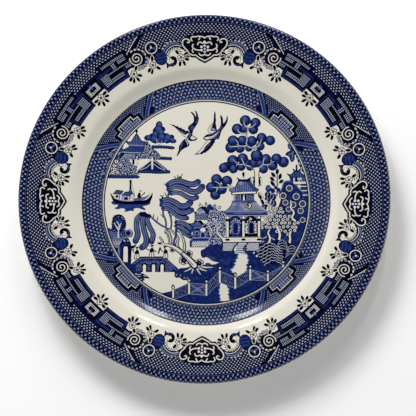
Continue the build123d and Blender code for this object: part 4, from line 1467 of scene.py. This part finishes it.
def fence(c):
    """The zigzag fence across the foot of the scene, with the second white channel behind it."""
    left = zigzag_edge([(9.9, -57), (9.8, -61), (9.6, -65), (10.2, -69), (10.6, -71.2)], 0.6)
    right = zigzag_edge([(16.6, -70.6), (15.6, -67), (15.8, -63.4), (14.9, -60.4), (13, -58)], 0.6)
    c.fill([(x - 0.8, y) for x, y in left] + [(x + 0.8, y) for x, y in right], WASH)
    c.fill(left + right, PAPER)
    c.fill([(-31, -64.4), (-23, -62.6), (-23, -69.6), (-28, -67.8)], DEEP)
    posts = [(-23, -61.6, -69.4), (-11.8, -57, -65.4), (0.3, -57.8, -66.6), (9.7, -48.4, -57.6),
             (20.5, -53.2, -61.8), (31, -47.6, -56), (43.3, -51, -56.6), (54, -44.6, -47)]
    for k, (a, b) in enumerate(zip(posts, posts[1:])):
        corners = [(a[0], a[2] + 0.6), (b[0], b[2] + 0.6), (b[0], b[1] - 0.6), (a[0], a[1] - 0.6)]
        c.fill(corners, DEEP if k % 2 else NAVY)
        low, high = np.array(corners[:2]), np.array([corners[3], corners[2]])
        for share, tone in ((0.0, PALE), (1.0, PALE), (0.06, LINE), (0.94, LINE)):
            c.line(low + (high - low) * share, 0.45, tone)
        random = np.random.default_rng(40 + k)
        for i in range(9):
            for j in range(5):
                u, v = (i + 0.3 + 0.5 * (j % 2)) / 9.2, (j + 0.8) / 5.6
                p = (low[0] * (1 - u) + low[1] * u) * (1 - v) + (high[0] * (1 - u) + high[1] * u) * v
                c.disc(p[0], p[1], random.uniform(0.4, 0.66), random.choice([0.34, 0.44, 0.56]), sides=6,
                       squash=0.6, turn=(35, -35)[j % 2])
        if k == 1 or k == 5:
            a0, b0, a1, b1 = low[0], low[1], high[0], high[1]
            for p, q in ((a0, b1), (a1, b0)):
                c.line([p + (q - p) * 0.12, p + (q - p) * 0.88], 0.55, PALE)
    for x, top, bottom in posts:
        c.box(x - 1.1, bottom, x + 1.1, top, LINE)
        c.box(x - 0.62, bottom + 0.3, x + 0.62, top - 0.2, CREAM)
        c.disc(x, top + 1.5, 1.35, LINE, sides=12)
        c.disc(x, top + 1.5, 0.72, TINT, sides=10)
        c.disc(x, top + 2.9, 0.6, LINE, sides=8)


def leaf_sprig(c):
    """The upright sprig of pointed leaves beside the great pagoda."""
    c.curve([(49.9, 4), (50, 10), (50.2, 16), (50.2, 19)], 0.9, WASH, (1.2, 0.7))
    for x, y, turn, length in (
        (50.2, 21, 80, 4.6), (47.4, 18.8, -50, 4.6), (46.6, 15.8, -50, 4.4), (47, 12.4, -52, 5.6),
        (52.2, 17.6, 75, 4.8), (53, 14, 38, 4.2), (51.1, 8.4, 60, 2.4), (49, 9.6, 100, 2.6),
    ):
        leaf(c, x, y, turn, length, 2.4, DARK)
        c.line([(x, y), (50.1, y - 2.6)], 0.35, DARK)


def flower_bush(c):
    """The big round flowers, blossom trees with white trunks, and the small trees beside them."""
    bush = smooth([(51, 8), (52.6, 6.8), (54, 9.4), (55, 12.6), (57, 13.8), (60.6, 13.4), (63, 11),
                   (65.4, 8), (67.8, 5.8), (68.4, 3), (68, 1.4), (71.6, 1.6), (71.5, -10), (68.8, -20),
                   (60.6, -38), (40, -38), (38.6, -20), (44, -14), (49, -8), (52.6, 2)], True, 1.5)
    top = bush[(bush[:, 1] > 2) & (bush[:, 0] < 69)]
    for width, tone in ((2.0, PALE), (1.1, WASH)):
        c.line(top, width, tone)
    c.fill(bush, DEEP)
    for x, y in scatter(bush, 4.4, 77, 0.3):
        c.disc(x, y, 1.2, ROYAL, sides=10, squash=0.6, turn=40)
    for x, y, r in (
        (58.6, 9.1, 2.5), (54.2, 3.8, 2.5), (63.4, 3.2, 2.6), (67.8, -2, 2.6), (66.4, -7, 2.3),
        (67.8, -13.4, 2.1), (55.8, -1, 2.2), (61.2, -2.6, 2.4), (58, -5.8, 2.1),
    ):
        flower(c, x, y, r)
    for x, y in scatter([(44, -2.4), (52, -3.4), (57, -8), (60, -12), (65.6, -15.4), (66, -19),
                         (62.4, -23.4), (53.6, -23.6), (48, -20.6), (39.2, -20.4), (39, -11), (44.6, -8)],
                        3.05, 14, 0.14):
        blossom(c, x, y, 1.12)
    for points, width in (
        ([(59.6, 0), (59.8, -2.6), (59.4, -4.6), (61, -6.8), (61.8, -8.6), (60.6, -10.6), (60.8, -12.6),
          (62.6, -14)], 1.1),
        ([(49.4, -17.4), (50.8, -20.4), (51.8, -23.4), (51.4, -27), (51.6, -30.6), (51.5, -33.8)], 1.5),
        ([(59.6, -21.6), (58.6, -24), (59, -26.4), (58.6, -29.4), (59.2, -31)], 1.3),
        ([(44.4, -20.4), (43.6, -22.6), (44.8, -25.4), (44.6, -28), (43.6, -30.2)], 1.1),
        ([(45.6, 5.4), (44.6, 2), (45.6, -1.6), (46, -3), (44.8, -5.2), (46.6, -7.6)], 0.9),
    ):
        c.edged_curve(points, width, PAPER, 0.5, DARK, (0.8, 1.2))
    c.blob([(41.8, 8.6), (42.6, 11), (44.4, 11.6), (46, 9.6), (48.2, 8.6), (48.6, 6.4), (46.4, 5.6),
            (45.4, 7), (43.6, 6.4)], DEEP)
    c.disc(43.9, 9.4, 1.2, WASH, sides=12)
    for x, y in ((43.4, 4.6), (43.2, 1.2), (47.4, 3), (47.6, -1.6), (42, -1.8), (40.8, -4.4)):
        c.disc(x, y, 2.1, NAVY, sides=12, squash=1.2)
        c.curve([(x - 0.9, y - 1.3), (x + 0.2, y + 0.2), (x - 0.2, y + 1.6)], 0.7, PALE)
    for x, y in ((38.6, 3.4), (40.2, -0.2)):
        c.disc(x, y, 3.2, LINE, sides=14, squash=0.5, turn=-62)
        c.disc(x + 0.3, y + 0.2, 2.5, CREAM, sides=12, squash=0.4, turn=-62)
        c.disc(x - 0.1, y - 0.1, 1.8, LINE, sides=10, squash=0.35, turn=-62)
    for x, y, turn in ((40.2, 1.6, -20), (41.6, -1, -40)):
        c.line([(x, y), (x + 3, y - 2)], 0.8, CREAM)


def rock_waves(c):
    """The rocks at the trees' feet, drawn as nested pale waves."""
    c.blob([(34.6, -33.6), (38, -30.4), (44, -29.6), (50, -27.4), (57, -29), (62.6, -32), (61, -36.6),
            (56.6, -40.6), (52, -43.9), (46, -44.6), (38, -41.6), (34.4, -38)], DARK)
    for j in range(7):
        y = -33.8 - 2.05 * j
        middle = 44.6 + 0.45 * j
        left, right = middle - 9.4 + 0.7 * max(0, j - 2), middle + 8.6 - 0.8 * max(0, j - 3)
        x = np.arange(left, right, 0.8)
        wave = y + 4.4 * np.exp(-((x - middle) / 5.6) ** 2) + 0.42 * np.sin(2.0 * x + 0.8 * j)
        c.line(np.column_stack([x, wave - 0.7]), 0.6, LINE, (0.7, 0.7))
        c.line(np.column_stack([x, wave]), 0.66, MIST, (0.7, 0.7))
    for peak, top, rows in ((53.4, -27.6, 4), (60.2, -31.4, 4)):
        for j in range(rows):
            half = 3.2 + 0.5 * j
            x = np.linspace(peak - half, peak + half, 10)
            wave = top - 1.9 * j - 2.6 * ((x - peak) / half) ** 2 + 0.25 * np.sin(2.6 * x)
            c.line(np.column_stack([x, wave]), 0.6, HAZE, (0.7, 0.7))
    for points in ([(46, -26), (48, -27.2)], [(40, -26.4), (42.4, -25.2)], [(38.4, -29.4), (40.6, -28.2)]):
        c.curve(points, 0.8, TINT, (0.6, 0.7))
    c.disc(33.6, -36.4, 0.7, TINT, sides=8)
    c.disc(35.6, -38.6, 0.8, TINT, sides=8)


def far_pagoda(c):
    """The small pagoda half hidden at the right edge, its steps, and the hanging leaves above it."""
    c.fill([(58.6, 17), (69.6, 17), (70, 13.6), (59.4, 13.8)], BLUE)
    for x0, x1, tone in (
        (60, 61, LINE), (61.4, 62.6, MIST), (62.8, 64, LINE), (64.4, 67.4, MIST), (68, 69.8, BLUE),
    ):
        c.box(x0, 13.8, x1, 16.8, tone)
    for x in (64.6, 66.6):
        c.disc(x, 14.4, 0.6, DARK, sides=8)
    roof(c, [(57, 19.6), (58, 19), (59.8, 18.8), (61.4, 20.2), (62.2, 21.4), (66, 21.4), (66.8, 20),
             (68.8, 18.4), (69.8, 17.8), (67.6, 17), (63, 16.9), (59.4, 17)], ROYAL, WASH, 7)
    c.line([(63.8, 21.4), (63.8, 25.4)], 1.3, LINE, (1, 0.9))
    c.curve([(62.6, 21.4), (61.6, 22.4)], 1.1, LINE)
    c.curve([(65.2, 21.4), (66.2, 22.4)], 1.1, LINE)
    c.box(61.6, 12.2, 70.4, 13.6, CREAM)
    c.line([(63.4, 11.6), (70.4, 11.6)], 0.6, DARK)
    for k in range(6):
        y = 10.4 - 1.55 * k
        c.line([(66.6 + 0.4 * k, y), (71.3, y)], 0.75, TINT if k % 2 == 0 else DEEP)
        c.line([(66.8 + 0.4 * k, y - 0.75), (71.3, y - 0.75)], 0.5, ROYAL)
    c.blob([(57.6, 40.8), (59.6, 40), (61.4, 38.4), (63.8, 35), (64, 33.2), (62.6, 32.4), (62.5, 29.6),
            (60.8, 27.6), (59.2, 29), (58.4, 31.6), (56, 32.8), (57, 34.9), (59.4, 36), (58, 38)], DEEP)
    for points in ([(58.2, 33), (60, 33.6), (61.4, 35.2)], [(60.6, 29.2), (60.9, 31.6), (61.4, 34)]):
        c.curve(points, 1.0, SKY, (0.5, 0.8))
    c.hoop(58.7, 38.2, 1.0, 0.4, PALE, 10)
    c.curve([(63.4, 32), (64.6, 29), (65.8, 25.6), (67.4, 21.6)], 0.9, WASH, (0.6, 1))
    for x, y in ((64, 31.6), (65.4, 28.6), (66.6, 25), (68, 21.6)):
        c.disc(x, y, 0.9, DEEP, sides=8)


def draw_centre():
    """The scene in the well, the border round it, and the plain cavetto outside that."""
    c = Canvas()
    for draw in (
        draw_well_border, ground, cloud_tree, island_bushes, island_pagoda, island_hills, left_bird,
        right_bird, boat, shore_rocks, gatehouse, bridge, small_pavilion, flower_bush, far_pagoda,
        dotted_bush, rock_waves, tree_balls, pagoda_top, pagoda_lower_roof, pagoda_storey, pagoda_plinth,
        leaf_sprig, roots, willow, fence,
    ):
        draw(c)
    for radius, width, tone in (
        (71.85, 0.9, LINE), (72.6, 0.75, TINT), (73.25, 0.6, LINE), (73.75, 0.4, PALE), (74.1, 0.5, LINE),
    ):
        c.fill(band(arc(0, 0, radius, 0, 360, 361), width), tone)
    c.shapes = [shape + PRINT_OFFSET for shape in c.shapes]
    return c


# ================= materials =================


CREAM_WARE = (0.64, 0.612, 0.532)
GLAZE_ROUGHNESS = 0.12
INK_COLOURS = [(0.0, CREAM_WARE), (0.2, (0.37, 0.39, 0.46)), (0.34, (0.172, 0.205, 0.34)),
               (0.5, (0.068, 0.096, 0.228)), (0.7, (0.018, 0.041, 0.168)), (0.8, (0.0052, 0.014, 0.094)),
               (0.88, (0.0018, 0.0038, 0.036)), (1.0, (0.0003, 0.0004, 0.003))]


def set_inputs(node, **values):
    """Sets a node's sockets; an underscore stands for the space in a socket's name."""
    for name, value in values.items():
        node.inputs[name.replace("_", " ")].default_value = value


def new_material(name, roughness):
    """A material with its principled shader, its nodes and its links."""
    material = bpy.data.materials.new(name)
    material.use_nodes = True
    nodes, links = material.node_tree.nodes, material.node_tree.links
    shader = nodes["Principled BSDF"]
    set_inputs(shader, Roughness=roughness)
    return material, shader, nodes, links


def noise(nodes, links, scale, detail):
    """A noise texture fixed to the object."""
    place = nodes.new("ShaderNodeTexCoord")
    texture = nodes.new("ShaderNodeTexNoise")
    set_inputs(texture, Scale=scale, Detail=detail)
    links.new(place.outputs["Object"], texture.inputs["Vector"])
    return texture.outputs[0]


def glaze_material():
    """Clear glaze over cream ware, with cobalt ink under it wherever the mesh carries an amount of ink."""
    material, shader, nodes, links = new_material("underglaze_print", GLAZE_ROUGHNESS)
    set_inputs(shader, IOR=1.5)
    amount = nodes.new("ShaderNodeAttribute")
    amount.attribute_name = "ink"
    uneven = nodes.new("ShaderNodeMapRange")
    set_inputs(uneven, From_Min=0.3, From_Max=0.7, To_Min=-0.06, To_Max=0.06)
    links.new(noise(nodes, links, 420.0, 3.0), uneven.inputs["Value"])
    mixed = nodes.new("ShaderNodeMath")
    mixed.operation = "MULTIPLY_ADD"
    links.new(uneven.outputs[0], mixed.inputs[0])
    links.new(amount.outputs["Fac"], mixed.inputs[1])
    links.new(amount.outputs["Fac"], mixed.inputs[2])
    ramp = nodes.new("ShaderNodeValToRGB")
    elements = ramp.color_ramp.elements
    while len(elements) < len(INK_COLOURS):
        elements.new(0.5)
    for element, (position, colour) in zip(elements, INK_COLOURS):
        element.position = position
        element.color = (*colour, 1)
    links.new(mixed.outputs[0], ramp.inputs[0])
    links.new(ramp.outputs["Color"], shader.inputs["Base Color"])
    ripple = nodes.new("ShaderNodeBump")
    set_inputs(ripple, Strength=0.05, Distance=0.001)
    links.new(noise(nodes, links, 55.0, 1.0), ripple.inputs["Height"])
    links.new(ripple.outputs[0], shader.inputs["Normal"])
    return material


def biscuit_material():
    """The bare fired body that shows on the foot ring."""
    material, shader, nodes, links = new_material("bare_biscuit", 0.85)
    ramp = nodes.new("ShaderNodeValToRGB")
    ramp.color_ramp.elements[0].color = (0.5, 0.44, 0.34, 1)
    ramp.color_ramp.elements[1].color = (0.66, 0.6, 0.5, 1)
    links.new(noise(nodes, links, 900.0, 4.0), ramp.inputs[0])
    links.new(ramp.outputs["Color"], shader.inputs["Base Color"])
    return material


def plain_material(name, colour, roughness):
    """One even colour."""
    material, shader, _, _ = new_material(name, roughness)
    set_inputs(shader, Base_Color=(*colour, 1))
    return material


# ================= the plate =================


def back_of_plate(material):
    """The glazed underside, turned from the profile, from under the lip to the dry foot ring."""
    count = 360
    turn = np.arange(count) / count * 2 * math.pi
    circle = np.column_stack([np.cos(turn), np.sin(turn)])

    def turned(rows):
        return np.vstack([np.column_stack([circle * r, np.full(count, z)]) for r, z in rows])

    verts = turned(OUTLINE[FACE_COUNT - 1:]) / 1000
    faces = []
    for i in range(len(verts) // count - 1):
        for k in range(count):
            a, b = i * count + k, i * count + (k + 1) % count
            faces.append((a, a + count, b + count, b))
    no_ink = np.zeros(4 * len(faces))
    return glazed_piece("back_glaze", verts, faces, turned(OUTWARD[FACE_COUNT - 1:]), no_ink, material)


def even_rings(radii, spacing):
    """Rings of extra points at the given radii, spaced evenly round each."""
    return [(r, max(24, int(2 * math.pi * r / spacing))) for r in radii]


def refinish(node, material):
    """Gives a CAD piece that stays visible its one material."""
    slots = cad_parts[node].data.materials
    slots.clear()
    slots.append(material)


SEAM_COUNT = 360  # points round each sheet's own edges, the same where two sheets meet
glaze = glaze_material()
centre_rings = even_rings([30, 50, 65, *np.arange(74, SHEETS_MEET, 1.3)], 2.2)
centre = cut_sheet("centre_sheet", draw_centre(), 0, centre_rings + [(SHEETS_MEET, SEAM_COUNT)], glaze)
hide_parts("centre_scene_print", "well_border_print")

rim_radii = [*np.arange(94.8, LIP_START, 1.9), *np.arange(LIP_START, LIP_END, 0.45)[1:]]
rim_rings = [(SHEETS_MEET, SEAM_COUNT)] + [(r, 330) for r in rim_radii] + [(LIP_END, SEAM_COUNT)]
rim = cut_sheet("rim_sheet", draw_rim(), SHEETS_MEET, rim_rings, glaze)
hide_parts("rim_border_print", "edge_band_print")

back = back_of_plate(glaze)
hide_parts("outer_glaze_coat")

refinish("earthenware_body", biscuit_material())
refinish("base_recess_glaze", plain_material("base_glaze", CREAM_WARE, GLAZE_ROUGHNESS))

# ================= floor, light and camera =================


def compass(azimuth, elevation):
    """The direction at a compass angle from +Y, raised by an elevation, both in radians."""
    return Vector((math.sin(azimuth) * math.cos(elevation), math.cos(azimuth) * math.cos(elevation),
                   math.sin(elevation)))


def pale_floor():
    """A wide floor under the foot ring."""
    bpy.ops.mesh.primitive_plane_add(size=4)
    floor = bpy.context.object
    floor.name = "floor"
    floor.data.materials.append(plain_material("pale_floor", (0.96, 0.96, 0.96), 0.9))


def studio_world():
    """Soft light from all round, brightest near the horizon and fading to almost nothing overhead."""
    world = bpy.data.worlds.new("studio")
    bpy.context.scene.world = world
    world.use_nodes = True
    nodes, links = world.node_tree.nodes, world.node_tree.links
    direction = nodes.new("ShaderNodeTexCoord")
    height = nodes.new("ShaderNodeSeparateXYZ")
    links.new(direction.outputs["Generated"], height.inputs[0])
    fade = nodes.new("ShaderNodeMapRange")
    fade.interpolation_type = "SMOOTHSTEP"
    set_inputs(fade, From_Min=0.42, From_Max=0.86, To_Min=1.17, To_Max=0.03)
    links.new(height.outputs["Z"], fade.inputs["Value"])
    links.new(fade.outputs[0], nodes["Background"].inputs["Strength"])
    set_inputs(nodes["Background"], Color=(0.98, 0.99, 1.0, 1))


def softbox(name, azimuth, elevation, width, height, power, mirrored):
    """An area light aimed at the plate. One that isn't mirrored lights it without showing in its gloss."""
    away = compass(math.radians(azimuth), math.radians(elevation))
    data = bpy.data.lights.new(name, "AREA")
    data.shape = "RECTANGLE"
    data.size, data.size_y = width, height
    data.energy = power
    light = bpy.data.objects.new(name, data)
    light.location = away * LIGHT_DISTANCE
    light.rotation_mode = "QUATERNION"
    light.rotation_quaternion = away.to_track_quat("Z", "Y")
    light.visible_glossy = mirrored
    bpy.context.collection.objects.link(light)


def main_camera():
    """A long lens almost straight above the plate, leaning a little towards the viewer."""
    away = compass(math.pi - CAMERA_SIDE, CAMERA_TILT)
    camera = bpy.data.objects.new("camera", bpy.data.cameras.new("camera"))
    camera.data.sensor_width = 36
    camera.data.lens = CAMERA_LENS
    bpy.context.collection.objects.link(camera)
    bpy.context.scene.camera = camera
    right = Vector((0, 1, 0)).cross(away).normalized()
    turn = Matrix((right, away.cross(right), away)).transposed().to_4x4()
    camera.matrix_world = Matrix.Translation(CAMERA_AIM + away * CAMERA_DISTANCE) @ turn


LIGHT_DISTANCE = 1.3
CAMERA_TILT = math.radians(81)
CAMERA_SIDE = math.radians(22)
CAMERA_DISTANCE = 1.5
CAMERA_LENS = 185.4  # millimetres
CAMERA_AIM = Vector((0.00269, -0.00669, 0.012))  # close to the middle of the plate

bpy.context.scene.view_settings.view_transform = "Standard"
pale_floor()
studio_world()
softbox("key_light", -24, 38, 0.6, 0.42, 12.1, mirrored=False)
softbox("lamp_left", -21, 41, 0.15, 0.44, 2.4, mirrored=True)
softbox("lamp_right", 14, 43, 0.15, 0.44, 2.4, mirrored=True)
main_camera()
